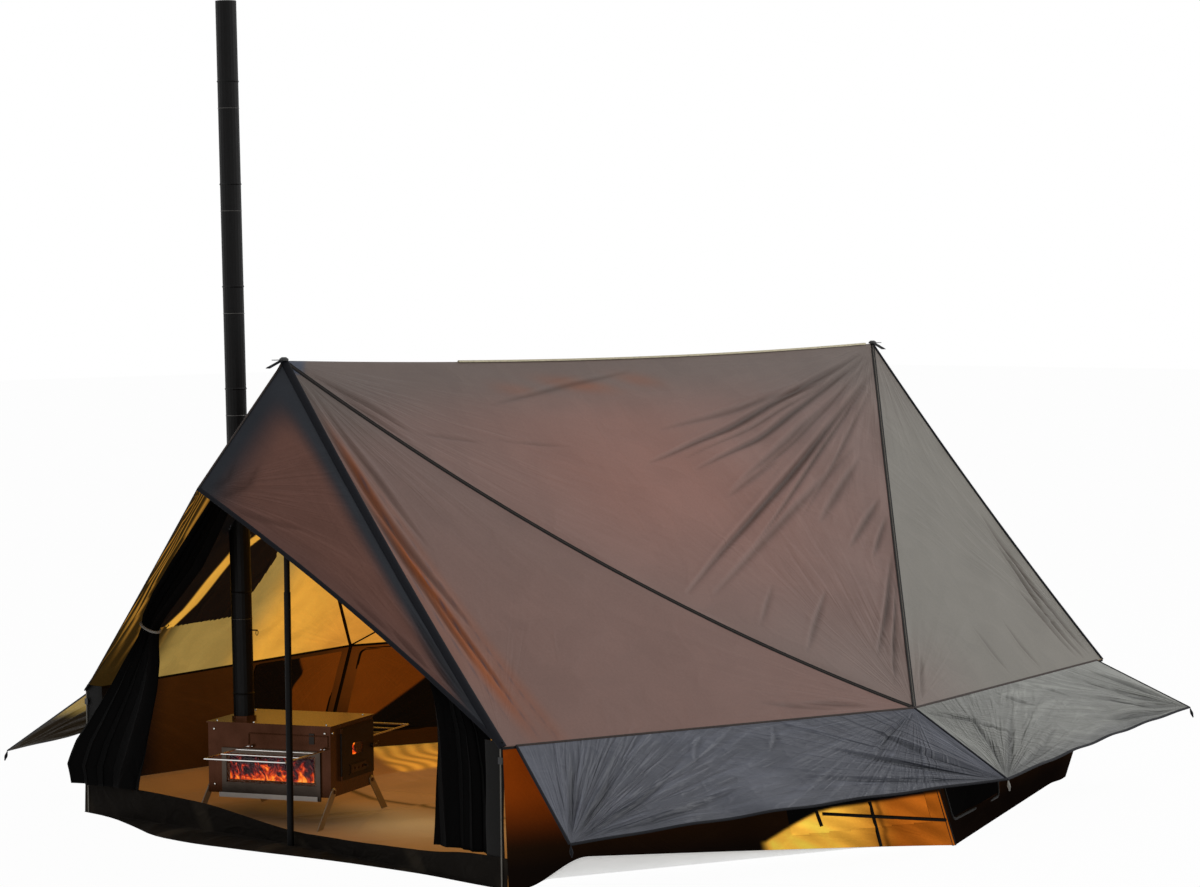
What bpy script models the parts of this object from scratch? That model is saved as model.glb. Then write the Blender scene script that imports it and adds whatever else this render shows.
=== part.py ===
# Hot tent: a ridge tent on two upright poles, with a wood stove whose flue leaves through the left front
# roof panel.
# Metres, +Z up. The origin is on the ground under the middle of the ridge, and the open door faces -Y.
import math

import bmesh
import bpy
import numpy as np
from mathutils import Matrix, Vector

# Sizes shared by the whole tent
CLOTH = 0.0015  # thickness of every cloth solid
GAP = 0.0004  # gap between pieces that touch
OVERRUN = 0.05  # how far a cutter runs past what it cuts
STRAIGHT_SHARE = 1e-6  # a bend with a smaller sine counts as straight

# Tent outline
HALF_LENGTH = 1.90  # from the tent's middle to the eaves at each end
END_HALF_WIDTH = 1.34
MIDDLE_HALF_WIDTH = 1.79
EAVE_HEIGHT = 0.545
APEX_HEIGHT = 2.00
APEX_INSET = 0.05  # how far each ridge end stands inside the end eaves
HOOD_REACH = 0.40
HOOD_TIP_HEIGHT = 1.50

# How far seams hang or curve in between their ends
RIDGE_SAG = 0.035
DIAGONAL_SAG = 0.025
SLACK_SEAM_SAG = 0.115  # the right front diagonal, which hangs slack
END_SEAM_SAG = 0.022
HOOD_EDGE_SAG = 0.030

# Walls
FRONT_FOOT = (0.025, 0.0)  # how far a wall's foot stands outside its eave, sideways and lengthways
REAR_FOOT = (-0.110, -0.135)
MIDDLE_FOOT_FLARE = 0.21
FRONT_HEM_LIFT = 0.118
REAR_HEM_LIFT = 0.015
HEM_START_SHARES = (0.03, 0.17)  # from the end corner: where the hem leaves the ground, where it stops rising
HEM_FALL_POWER = 0.9  # how it comes down again towards the middle corner
WALL_COLUMNS = 12
WALL_DROP = 0.0028  # from the eave line to the wall's top edge, under the roof cloth

# Windows, measured from the middle corner along the wall
WINDOW_START = 0.075
WINDOW_END = 0.71
WINDOW_SILL = 0.10
WINDOW_HEAD = 0.035  # wall left over the window

# Skirts
SKIRT_SETBACK = 0.06  # from an end corner to where the skirt starts
FRONT_TIP = (0.465, 0.10, 0.240)  # out from the end corner, past the tent's end, and height
REAR_TIP = (0.45, 0.05, 0.355)
MIDDLE_TIP_REACH = 0.48
MIDDLE_TIP_HEIGHT = 0.30
SKIRT_ARCH = 0.015
SKIRT_FOLD_DEPTH = 0.004
SKIRT_FOLDS = 5

# Door sill, groundsheet and rear door
SILL_BOW = 0.075
SILL_COLUMNS = 24
SILL_TOPS = (  # place across the tent and height of the sill's top edge
    (-1.36, 0.135), (-0.95, 0.135), (-0.55, 0.117), (-0.20, 0.075), (0.00, 0.057),
    (0.40, 0.065), (0.90, 0.090), (1.15, 0.120), (1.36, 0.120),
)
SILL_FLAPS = (  # place across the tent and how far the sill's foot runs out over the ground
    (-1.36, 0.003), (-1.15, 0.02), (-0.90, 0.11), (-0.62, 0.23), (-0.35, 0.25),
    (0.00, 0.20), (0.45, 0.10), (0.90, 0.02), (1.36, 0.003),
)
REAR_DOOR_EASE = 0.005  # how far the rear door stays off the walls at the eave
SHEET_THICKNESS = 0.003
SHEET_INSET = 0.007
SHEET_CLEARANCE = 0.0009  # from its edge to the walls
SHEET_SEAM_PLACE = -0.55  # the cross seam of the sheet's two lengths
SHEET_SEAM_WIDTH = 0.022
SHEET_SEAM_RISE = 0.001
SHEET_FLAT_SHARE = 0.93  # where the sheet's flat middle ends, as a share of its size
SHEET_LEAN_SHARE = 0.55  # how far its edge leans in, as a share of its thickness
REAR_DOOR_INSET_SHARES = (0.021, 0.036)  # at the apex and at the eave, of the panel towards the middle corner

# Curtains: rows of height as a share of the apex height, distance of the middle from the tent's centre
# plane as a share of the end's half-width, distance behind the tent's front edge as a share of the
# curtain's thickness, half-width as a share of the end's half-width, half-depth as a share of the
# thickness, and turn about Z in radians. The last row stands on the sill whatever its height says.
CURTAIN_THICKNESS = 0.028
LEFT_CURTAIN_SHARES = (
    (0.8500, 0.1239, 1.286, 0.0224, 0.500, 0.00),
    (0.7750, 0.2119, 1.214, 0.0343, 0.679, 0.00),
    (0.7000, 0.3045, 1.143, 0.0448, 0.821, 0.00),
    (0.6250, 0.3993, 1.071, 0.0567, 0.893, 0.00),
    (0.5600, 0.4851, 1.000, 0.0657, 0.929, 0.00),
    (0.5000, 0.5784, 0.929, 0.0612, 0.929, 0.00),
    (0.4500, 0.6478, 0.857, 0.0448, 0.929, 0.00),
    (0.4240, 0.6679, 0.786, 0.0328, 0.929, 0.00),
    (0.4000, 0.6806, 0.714, 0.0433, 0.964, 0.00),
    (0.3500, 0.7090, 0.429, 0.0784, 0.929, 0.04),
    (0.2900, 0.7425, -0.143, 0.1082, 0.857, 0.08),
    (0.2300, 0.7836, -0.786, 0.1381, 0.786, 0.12),
    (0.1650, 0.8358, -1.214, 0.1604, 0.786, 0.16),
    (0.1100, 0.8731, -1.286, 0.1679, 0.786, 0.18),
    (0.0677, 0.8769, -1.071, 0.1567, 0.786, 0.18),
)
RIGHT_CURTAIN_SHARES = (
    (0.8500, 0.1239, 1.286, 0.0224, 0.500, 0.00),
    (0.7750, 0.2119, 1.214, 0.0343, 0.679, 0.00),
    (0.7000, 0.3045, 1.143, 0.0448, 0.821, 0.00),
    (0.6250, 0.3993, 1.071, 0.0552, 0.893, 0.00),
    (0.5600, 0.4888, 1.000, 0.0567, 0.929, 0.00),
    (0.5100, 0.5731, 0.964, 0.0507, 0.964, 0.00),
    (0.4700, 0.6358, 0.929, 0.0478, 1.000, 0.00),
    (0.4300, 0.6940, 0.893, 0.0582, 0.964, 0.00),
    (0.3900, 0.7388, 0.857, 0.0709, 0.929, 0.00),
    (0.3450, 0.7761, 0.857, 0.0896, 0.929, 0.00),
    (0.2900, 0.8045, 0.857, 0.1134, 0.929, 0.00),
    (0.2250, 0.8164, 0.857, 0.1269, 0.929, 0.00),
    (0.1500, 0.8187, 0.857, 0.1328, 0.929, 0.00),
    (0.0595, 0.8187, 0.857, 0.1373, 0.929, 0.00),
)
CURTAIN_POINTS = 36
CURTAIN_FOLDS = 6
CURTAIN_FOLD_SHARE = 0.34  # depth of the folds as a share of the half-depth

# Poles
POLE_RADIUS = 0.014
POLE_WALL = 0.0015
POLE_FIT = 0.0003
POLE_JOINT_HEIGHT = 1.05
POLE_OVERLAP = 0.12
POLE_SHOULDER = 0.022  # length of the taper below the spike
SPIKE_RADIUS = 0.004
SPIKE_LENGTH = 0.030
CAP_RADIUS = 0.019
CAP_HEIGHT = 0.014
TAB_LENGTH = 0.055
TAB_WIDTH = 0.022
TAB_THICKNESS = 0.003

# Corner straps and their sliding buckles
STRAP_WIDTH = 0.007
STRAP_THICKNESS = 0.0016
STRAP_TOP = 0.538
STRAP_INSET = 0.008  # from the eave corner towards the tent's middle
BUCKLE_WIDTH = 0.022
BUCKLE_DEPTH = 0.0055
BUCKLE_HEIGHT = 0.026
BUCKLE_TOP = 0.505

# Stove, in its own frame: its length along X, its front at -Y
STOVE_ACROSS = -0.5885
STOVE_SETBACK = 0.5391  # from the tent's front eave to the stove's middle
STOVE_TURN = 24.0  # degrees about Z
BODY_LENGTH = 0.585
BODY_DEPTH = 0.42
BODY_BOTTOM = 0.125
BODY_TOP = 0.43
BODY_WALL = 0.002
TOP_LIP = 0.006  # how far the top plate stands out all round
TOP_THICKNESS = 0.004
FRAME_LEFT_MARGIN = 0.0695  # from the body's left end to the glass's frame
FRAME_RIGHT_MARGIN = 0.0455
FRAME_HEIGHT = 0.214
FRAME_BOTTOM = 0.108
FRAME_DEPTH = 0.010
FRAME_BAR = 0.022
FRAME_FOOT = 0.066  # height of the frame's bottom bar
GLASS_THICKNESS = 0.004
FRONT_HOLE_MARGIN = 0.012  # the hole behind the glass is this much smaller all round
DOOR_FRONT_MARGIN = 0.0925  # from the body's front to the door's edge
DOOR_REAR_MARGIN = 0.0125
DOOR_HEIGHT = 0.225
DOOR_BOTTOM = 0.185
DOOR_THICKNESS = 0.008
DOOR_HOLE_MARGIN = 0.015
DOOR_GLASS_WIDTH = 0.100
DOOR_GLASS_HEIGHT = 0.050
DOOR_GLASS_BOTTOM = 0.284
DOOR_GLASS_SHIFT = -0.006  # from the door's middle
HINGE_RADIUS = 0.005
HINGE_PIN_RADIUS = 0.0022
HINGE_FIT = 0.0004
HINGE_END = 0.020  # length of each end knuckle
HINGE_STANDOFF = 0.009  # hinge axis in front of the end wall
HINGE_SIDE_GAP = 0.006  # from the hinge axis to the door's edge
HANDLE_PIN_RADIUS = 0.004
HANDLE_BOSS_RADIUS = 0.011
HANDLE_BOSS_LENGTH = 0.010
HANDLE_ARM_LENGTH = 0.040
HANDLE_ARM_WIDTH = 0.010
HANDLE_ARM_THICKNESS = 0.005
HANDLE_HEIGHT = 0.300
HANDLE_EDGE = 0.018  # from the door's free edge
RING_RADIUS = 0.011
RING_WIRE = 0.0015
SLIDE_LENGTH = 0.150
SLIDE_HEIGHT = 0.034
SLIDE_THICKNESS = 0.002
SLIDE_BOTTOM = 0.207
SLIDE_TRAVEL = 0.030
RAIL_HEIGHT = 0.005
AIR_HOLE_RADIUS = 0.007
AIR_HOLES = 3
KNOB_RADIUS = 0.005
KNOB_LENGTH = 0.012
GRATE_END_MARGIN = 0.0425  # from the body's end to the grate
GRATE_SIDE_MARGIN = 0.060
GRATE_THICKNESS = 0.004
GRATE_HEIGHT = 0.020
GRATE_SLOTS = 9
GRATE_SLOT_WIDTH = 0.012
GRATE_SLOT_MARGIN = 0.030
GRATE_FOOT_RADIUS = 0.006

# Legs, on bolts at the bottom corners of the stove's ends
LEG_WIDTH = 0.040
LEG_THICKNESS = 0.004
LEG_LEANS = (44.0, 42.0)  # degrees from upright, front and rear
LEG_PIVOT_HEIGHT = 0.147
LEG_PIVOT_INSET = 0.022  # from the body's corner along its depth
LEG_BOLT_RADIUS = 0.004
LEG_BOLT_HEAD = 0.008
LEG_BOLT_HEAD_LENGTH = 0.005
LEG_FIT = 0.0004

# Wire racks on both long sides
RACK_LEFT_MARGIN = 0.197  # from the body's left end to the rack
RACK_RIGHT_MARGIN = 0.013
RACK_HEIGHT = 0.333
RACK_REACH = 0.385
RACK_BARS = 3
RACK_BAR_SPACING = 0.140
RACK_WIRE = 0.0032
RACK_HINGE_OFFSET = 0.016  # hinge axis from the body's face
GUARD_WIRE = 0.0022
GUARD_RISE = 0.045
GUARD_OFFSET = 0.006

# Flue
FLUE_OFFSET = (-0.1140, -0.1656)  # on the ground plan, from the stove's middle, at the stove's top
FLUE_LEAN = (-0.0079, -0.0079)  # sideways run for each metre of rise
FLUE_RADIUS = 0.045
FLUE_WALL = 0.001
FLUE_FIT = 0.0004
FLUE_PITCH = 0.44
FLUE_SECTIONS = 7
FLUE_SPIGOT = 0.088
FLUE_BEAD_HEIGHT = 0.095
FLUE_BEAD_RISE = 0.003
FLUE_BEAD_WIDTH = 0.010
FLUE_SIDES = 20
COLLAR_BASE = 0.020
COLLAR_RING = 0.008
COLLAR_HEIGHT = 0.060
DAMPER_HEIGHT = 0.39  # over the stove's top
DAMPER_RADIUS = 0.0415
DAMPER_THICKNESS = 0.0015
DAMPER_SHAFT = 0.003
DAMPER_HANDLE_REACH = 0.030

# Stove jack: the outline of the patch round the flue, on the ground plan, as shares of its size
JACK_SIZE = 0.60
JACK_OUTLINE_SHARES = ((-0.70, -0.35), (-0.92, 0.65), (-0.50, 0.71), (0.22, 0.28), (0.39, -0.32))

# Colours and finishes: base colour, roughness, metallic
FINISHES = {
    "roof_cloth": ((0.22, 0.15, 0.13), 0.75, 0.0),
    "hood_cloth": ((0.03, 0.035, 0.045), 0.8, 0.0),
    "skirt_cloth": ((0.09, 0.10, 0.12), 0.75, 0.0),
    "wall_cloth": ((0.16, 0.09, 0.04), 0.85, 0.0),
    "black_cloth": ((0.012, 0.012, 0.013), 0.9, 0.0),
    "window_mesh": ((0.01, 0.01, 0.01), 0.9, 0.0),
    "groundsheet": ((0.33, 0.24, 0.13), 0.8, 0.0),
    "jack_cloth": ((0.015, 0.015, 0.015), 0.95, 0.0),
    "pole_metal": ((0.01, 0.01, 0.011), 0.45, 0.8),
    "cap_plastic": ((0.01, 0.01, 0.01), 0.6, 0.0),
    "strap_webbing": ((0.012, 0.012, 0.014), 0.85, 0.0),
    "stove_steel": ((0.13, 0.09, 0.07), 0.35, 0.9),
    "frame_steel": ((0.35, 0.34, 0.33), 0.35, 0.9),
    "door_steel": ((0.03, 0.027, 0.024), 0.45, 0.8),
    "stove_glass": ((0.05, 0.02, 0.01), 0.05, 0.0),
    "rack_wire": ((0.6, 0.6, 0.6), 0.2, 1.0),
    "leg_steel": ((0.10, 0.09, 0.08), 0.4, 0.9),
    "grate_iron": ((0.05, 0.045, 0.04), 0.7, 0.6),
    "flue_steel": ((0.025, 0.018, 0.015), 0.45, 0.7),
}


STOVE_PLACE = (STOVE_ACROSS, STOVE_SETBACK - HALF_LENGTH)
FLUE_PLACE = (STOVE_PLACE[0] + FLUE_OFFSET[0], STOVE_PLACE[1] + FLUE_OFFSET[1])

# What the stove's margins leave, along the body and across it
FRAME_LENGTH = BODY_LENGTH - FRAME_LEFT_MARGIN - FRAME_RIGHT_MARGIN
FRAME_SHIFT = (FRAME_LEFT_MARGIN - FRAME_RIGHT_MARGIN) / 2
DOOR_WIDTH = BODY_DEPTH - DOOR_FRONT_MARGIN - DOOR_REAR_MARGIN
DOOR_SHIFT = (DOOR_FRONT_MARGIN - DOOR_REAR_MARGIN) / 2
GRATE_LENGTH = BODY_LENGTH - 2 * GRATE_END_MARGIN
GRATE_DEPTH = BODY_DEPTH - 2 * GRATE_SIDE_MARGIN
RACK_LENGTH = BODY_LENGTH - RACK_LEFT_MARGIN - RACK_RIGHT_MARGIN
RACK_SHIFT = (RACK_LEFT_MARGIN - RACK_RIGHT_MARGIN) / 2


def clear_scene():
    for item in list(bpy.data.objects):
        bpy.data.objects.remove(item, do_unlink=True)


def finish(name):
    colour, roughness, metallic = FINISHES[name]
    material = bpy.data.materials.new(name)
    material.use_nodes = True
    shader = material.node_tree.nodes["Principled BSDF"]
    shader.inputs["Base Color"].default_value = (*colour, 1.0)
    shader.inputs["Roughness"].default_value = roughness
    shader.inputs["Metallic"].default_value = metallic
    material.diffuse_color = (*colour, 1.0)
    return material


def add_object(name, mesh, surface, parent=None, smooth_angle=40.0):
    mesh.shade_smooth()
    mesh.set_sharp_from_angle(angle=math.radians(smooth_angle))
    item = bpy.data.objects.new(name, mesh)
    bpy.context.collection.objects.link(item)
    mesh.materials.append(finish(surface))
    item.parent = parent
    return item


def mesh_from_bmesh(name, work):
    bmesh.ops.recalc_face_normals(work, faces=work.faces)
    mesh = bpy.data.meshes.new(name)
    work.to_mesh(mesh)
    work.free()
    return mesh


def mesh_from_faces(name, points, faces):
    work = bmesh.new()
    corners = [work.verts.new(tuple(map(float, point))) for point in points]
    for face in faces:
        work.faces.new([corners[index] for index in face])
    return mesh_from_bmesh(name, work)


def shell_mesh(name, outer, inner, faces, rim):
    # A closed sheet: outer and inner points in the same order, joined along the rim's loop of indices.
    count = len(outer)
    every = list(faces)
    every += [tuple(count + index for index in reversed(face)) for face in faces]
    for a, b in zip(rim, rim[1:] + rim[:1]):
        every += [(b, a, count + a), (b, count + a, count + b)]
    return mesh_from_faces(name, np.vstack([outer, inner]), every)


# Flat triangles and their shares


def triangle_grid(rows):
    shares = [(1 - i / rows, (i - j) / rows, j / rows) for i in range(rows + 1) for j in range(i + 1)]
    faces = []
    for i in range(rows):
        above, below = i * (i + 1) // 2, (i + 1) * (i + 2) // 2
        for j in range(i + 1):
            faces.append((above + j, below + j, below + j + 1))
            if j < i:
                faces.append((above + j, below + j + 1, above + j + 1))
    left = [i * (i + 1) // 2 for i in range(rows + 1)]
    bottom = [left[-1] + j for j in range(1, rows + 1)]
    right = [i * (i + 1) // 2 + i for i in range(rows - 1, 0, -1)]
    return np.array(shares), faces, left + bottom + right


def unit(vector):
    return vector / np.linalg.norm(vector)


def outward_normal(corners):
    return unit(np.cross(corners[1] - corners[0], corners[2] - corners[0]))


def panel_points(corners, bulges, shares):
    # A flat triangle plus one bump for each edge, full in the middle of its own edge and zero on the others.
    points = shares @ corners
    for k in range(3):
        i, j = (k + 1) % 3, (k + 2) % 3
        points = points + 4 * (shares[:, i] * shares[:, j])[:, None] * bulges[k]
    return points


def inset_shares(corners, insets, shares):
    # Moves every edge k of the triangle in by insets[k], measured square to that edge.
    doubled = np.linalg.norm(np.cross(corners[1] - corners[0], corners[2] - corners[0]))
    edges = [np.linalg.norm(corners[(k + 2) % 3] - corners[(k + 1) % 3]) for k in range(3)]
    low = np.array([insets[k] * edges[k] / doubled for k in range(3)])
    return low + shares * (1 - low.sum())


def fold_tangent(corners, k, beyond):
    # Tangent of half the fold between this panel and the one across edge k, positive where it is convex.
    a, b = corners[(k + 1) % 3], corners[(k + 2) % 3]
    own = outward_normal(corners)
    other = unit(np.cross(a - b, beyond - a))
    cosine = float(np.clip(own @ other, -1, 1))
    tangent = math.sqrt((1 - cosine) / (1 + cosine))
    return tangent if own @ (beyond - a) < 0 else -tangent


def keep_to_side(points, side):
    # The panels of both sides meet over the poles and along the ridge, and none may cross the middle.
    points[:, 0] = np.maximum(points[:, 0] * side, GAP / 2) * side
    return points


def triangle_panel(name, side, corners, bulges, neighbours, surface, rows=8):
    # neighbours[k] is the far corner of the panel across edge k, or None at a free edge.
    corners = np.array(corners, float)
    bulges = np.array(bulges, float)
    shares, faces, rim = triangle_grid(rows)
    outer_in = [GAP / 2] * 3
    inner_in = list(outer_in)
    for k, beyond in enumerate(neighbours):
        if beyond is not None:
            inner_in[k] += CLOTH * fold_tangent(corners, k, np.array(beyond, float))
    outer = panel_points(corners, bulges, inset_shares(corners, outer_in, shares))
    inner = panel_points(corners, bulges, inset_shares(corners, inner_in, shares))
    inner = keep_to_side(inner - CLOTH * outward_normal(corners), side)
    outer = keep_to_side(outer, side)
    return add_object(name, shell_mesh(name, outer, inner, faces, rim), surface)


# The tent's corners


def side_point(x, y, z, side, end):
    return np.array([x * side, y * end, z])


def corner_points(side, end):
    # side is +1 on the right, -1 on the left; end is -1 at the front, +1 at the rear.
    foot = REAR_FOOT if end > 0 else FRONT_FOOT
    return {
        "apex": side_point(0, HALF_LENGTH - APEX_INSET, APEX_HEIGHT, side, end),
        "other_apex": side_point(0, HALF_LENGTH - APEX_INSET, APEX_HEIGHT, side, -end),
        "eave": side_point(END_HALF_WIDTH, HALF_LENGTH, EAVE_HEIGHT, side, end),
        "other_eave": side_point(END_HALF_WIDTH, HALF_LENGTH, EAVE_HEIGHT, side, -end),
        "across_eave": side_point(END_HALF_WIDTH, HALF_LENGTH, EAVE_HEIGHT, -side, end),
        "middle": side_point(MIDDLE_HALF_WIDTH, 0, EAVE_HEIGHT, side, end),
        "across_middle": side_point(MIDDLE_HALF_WIDTH, 0, EAVE_HEIGHT, -side, end),
        "tip": side_point(0, HALF_LENGTH + HOOD_REACH, HOOD_TIP_HEIGHT, side, end),
        "foot": side_point(END_HALF_WIDTH + foot[0], HALF_LENGTH + foot[1], 0, side, end),
        "middle_foot": side_point(MIDDLE_HALF_WIDTH + MIDDLE_FOOT_FLARE, 0, 0, side, end),
    }


def wound(side, end, corners, bulges, neighbours):
    # Corners are listed for the right front; mirroring once turns them round, so two of them change places.
    if side * end > 0:
        order = (0, 2, 1)
        return [corners[i] for i in order], [bulges[i] for i in order], [neighbours[i] for i in order]
    return corners, bulges, neighbours


def end_seam_bulge(side):
    run = Vector((END_HALF_WIDTH, 0, EAVE_HEIGHT - APEX_HEIGHT)).normalized()
    return np.array([run.z * side, 0, -run.x]) * END_SEAM_SAG


DOWN = np.array([0.0, 0.0, -1.0])
NONE = np.zeros(3)  # no bulge


def diagonal_bulge(side, end):
    return DOWN * (SLACK_SEAM_SAG if side > 0 and end < 0 else DIAGONAL_SAG)


def add_roof():
    for side, hand in ((1, "right"), (-1, "left")):
        for end, place in ((-1, "front"), (1, "rear")):
            p = corner_points(side, end)
            corners = [p["apex"], p["eave"], p["middle"]]
            bulges = [NONE, diagonal_bulge(side, end), end_seam_bulge(side)]
            neighbours = [None, p["other_apex"], p["tip"]]
            corners, bulges, neighbours = wound(side, end, corners, bulges, neighbours)
            triangle_panel(f"roof_{hand}_{place}", side, corners, bulges, neighbours, "roof_cloth")
        p = corner_points(side, -1)
        corners = [p["apex"], p["middle"], p["other_apex"]]
        bulges = [diagonal_bulge(side, 1), DOWN * RIDGE_SAG, diagonal_bulge(side, -1)]
        neighbours = [p["other_eave"], p["across_middle"], p["eave"]]
        corners, bulges, neighbours = wound(side, -1, corners, bulges, neighbours)
        triangle_panel(f"roof_{hand}_middle", side, corners, bulges, neighbours, "roof_cloth")


def add_hoods():
    for end, place in ((-1, "front"), (1, "rear")):
        for side, hand in ((1, "right"), (-1, "left")):
            p = corner_points(side, end)
            corners = [p["apex"], p["tip"], p["eave"]]
            edge = unit(p["eave"] - p["tip"])
            inwards = unit(np.cross(edge, outward_normal(np.array(corners)) * -side * end))
            bulges = [-abs(HOOD_EDGE_SAG) * inwards * np.sign(inwards[2]) * -1, end_seam_bulge(side), NONE]
            neighbours = [None, p["middle"], p["across_eave"]]
            corners, bulges, neighbours = wound(side, end, corners, bulges, neighbours)
            triangle_panel(f"hood_{place}_{hand}", side, corners, bulges, neighbours, "hood_cloth", rows=6)


# Four-sided sheets


def quad_grid(columns, rows):
    u, v = np.meshgrid(np.linspace(0, 1, columns + 1), np.linspace(0, 1, rows + 1), indexing="ij")
    shares = np.stack([u.ravel(), v.ravel()], axis=1)
    index = lambda i, j: i * (rows + 1) + j
    faces = []
    for i in range(columns):
        for j in range(rows):
            faces.append((index(i, j), index(i, j + 1), index(i + 1, j + 1)))
            faces.append((index(i, j), index(i + 1, j + 1), index(i + 1, j)))
    rim = [index(0, j) for j in range(rows + 1)]
    rim += [index(i, rows) for i in range(1, columns + 1)]
    rim += [index(columns, j) for j in range(rows - 1, -1, -1)]
    rim += [index(i, 0) for i in range(columns - 1, 0, -1)]
    return shares, faces, rim


def bilinear(corners, shares):
    u, v = shares[:, :1], shares[:, 1:]
    top = corners[0] * (1 - u) + corners[1] * u
    bottom = corners[3] * (1 - u) + corners[2] * u
    return top * (1 - v) + bottom * v


def wall_corners(side, end):
    # Top at the end corner, top at the middle corner, foot at the middle corner, foot at the end corner.
    p = corner_points(side, end)
    drop = DOWN * WALL_DROP
    return np.array([p["eave"] + drop, p["middle"] + drop, p["middle_foot"], p["foot"]])


def hem_lift(u, end):
    # Height of the hem over the ground: up by an eased step near the end corner, then down to the middle.
    start, stop = HEM_START_SHARES
    step = np.clip((u - start) / (stop - start), 0, 1)
    lift = REAR_HEM_LIFT if end > 0 else FRONT_HEM_LIFT
    return lift * step * step * (3 - 2 * step) * (1 - u) ** HEM_FALL_POWER


def wall_points(side, end, shares):
    corners = wall_corners(side, end)
    lift = hem_lift(shares[:, 0], end) * shares[:, 1]
    return bilinear(corners, shares) - lift[:, None] * DOWN


def wall_outward(side, end):
    corners = wall_corners(side, end)
    normal = unit(np.cross(corners[1] - corners[0], corners[2] - corners[1]))
    return normal * np.sign(normal[0] * side)


def wall_mesh(name, side, end):
    shares, faces, rim = quad_grid(WALL_COLUMNS, 2)
    length = float(np.linalg.norm(wall_corners(side, end)[1] - wall_corners(side, end)[0]))
    turn = math.atan2(MIDDLE_HALF_WIDTH - END_HALF_WIDTH, HALF_LENGTH)
    outer, inner = shares.copy(), shares.copy()
    outer[:, 0] = (GAP / 2 + shares[:, 0] * (length - GAP)) / length
    mitre = CLOTH * math.tan(turn) + GAP / 2
    inner[:, 0] = (GAP / 2 + shares[:, 0] * (length - GAP / 2 - mitre)) / length
    inward = wall_outward(side, end) * CLOTH
    return shell_mesh(name, wall_points(side, end, outer), wall_points(side, end, inner) - inward, faces, rim)


def window_outline(grow):
    # The window on the wall's side view, as distances from the middle corner and heights.
    start, stop = WINDOW_START - grow, WINDOW_END + grow
    low, high = WINDOW_SILL - grow, EAVE_HEIGHT - WINDOW_HEAD + grow
    return ((start, low), (stop, low), (stop, high), (start, high))


def prism(name, outline, low, high, axis):
    # A flat outline of pairs, carried along one axis from low to high.
    def place(pair, level):
        if axis == "X":
            return (level, pair[0], pair[1])
        if axis == "Y":
            return (pair[0], level, pair[1])
        return (pair[0], pair[1], level)

    count = len(outline)
    points = [place(pair, low) for pair in outline] + [place(pair, high) for pair in outline]
    faces = [tuple(range(count)), tuple(range(2 * count - 1, count - 1, -1))]
    faces += [(i, (i + 1) % count, count + (i + 1) % count, count + i) for i in range(count)]
    return mesh_from_faces(name, points, faces)


def add_cutter(name, mesh, parent=None):
    cutter = bpy.data.objects.new(name, mesh)
    bpy.context.collection.objects.link(cutter)
    cutter.hide_render = True
    cutter.display_type = "WIRE"
    cutter.parent = parent
    return cutter


def cut(item, cutter, operation="DIFFERENCE"):
    modifier = item.modifiers.new(f"{operation.lower()}_{cutter.name}", "BOOLEAN")
    modifier.operation = operation
    modifier.solver = "EXACT"
    modifier.object = cutter
    return modifier


def add_walls():
    for side, hand in ((1, "right"), (-1, "left")):
        for end, place in ((-1, "front"), (1, "rear")):
            wall = add_object(f"wall_{hand}_{place}", wall_mesh("wall", side, end), "wall_cloth")
            window = add_object(f"window_{hand}_{place}", wall_mesh("window", side, end), "window_mesh")
            inside, outside = END_HALF_WIDTH * side, (MIDDLE_HALF_WIDTH + MIDDLE_FOOT_FLARE + OVERRUN) * side
            low, high = min(inside, outside), max(inside, outside)
            hole = [(y * end, z) for y, z in window_outline(0)]
            pane = [(y * end, z) for y, z in window_outline(-GAP)]
            hole_cutter = add_cutter(f"cut_window_{hand}_{place}", prism("hole", hole, low, high, "X"))
            pane_cutter = add_cutter(f"keep_window_{hand}_{place}", prism("pane", pane, low, high, "X"))
            cut(wall, hole_cutter)
            cut(window, pane_cutter, "INTERSECT")


def skirt_corners(side, end):
    p = corner_points(side, end)
    along = unit(p["middle"] - p["eave"])
    start = p["eave"] + along * SKIRT_SETBACK
    reach, past, height = REAR_TIP if end > 0 else FRONT_TIP
    end_tip = side_point(END_HALF_WIDTH + reach, HALF_LENGTH + past, height, side, end)
    middle_tip = side_point(MIDDLE_HALF_WIDTH + MIDDLE_TIP_REACH, 0, MIDDLE_TIP_HEIGHT, side, end)
    return np.array([start, p["middle"], middle_tip, end_tip])


def skirt_points(side, end, shares):
    # The free edge arches back between the tips, and shallow folds deepen towards it.
    corners = skirt_corners(side, end)
    u, v = shares[:, 0], shares[:, 1]
    upward = unit((corners[0] + corners[1]) / 2 - (corners[2] + corners[3]) / 2)
    outward = unit(np.cross(corners[1] - corners[0], corners[3] - corners[0]))
    outward = outward * np.sign(outward[2])
    arch = SKIRT_ARCH * 4 * u * (1 - u) * v**2
    fold = SKIRT_FOLD_DEPTH * np.sin(2 * math.pi * SKIRT_FOLDS * u) * v**2 * 4 * u * (1 - u)
    return bilinear(corners, shares) + arch[:, None] * upward + fold[:, None] * outward


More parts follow.
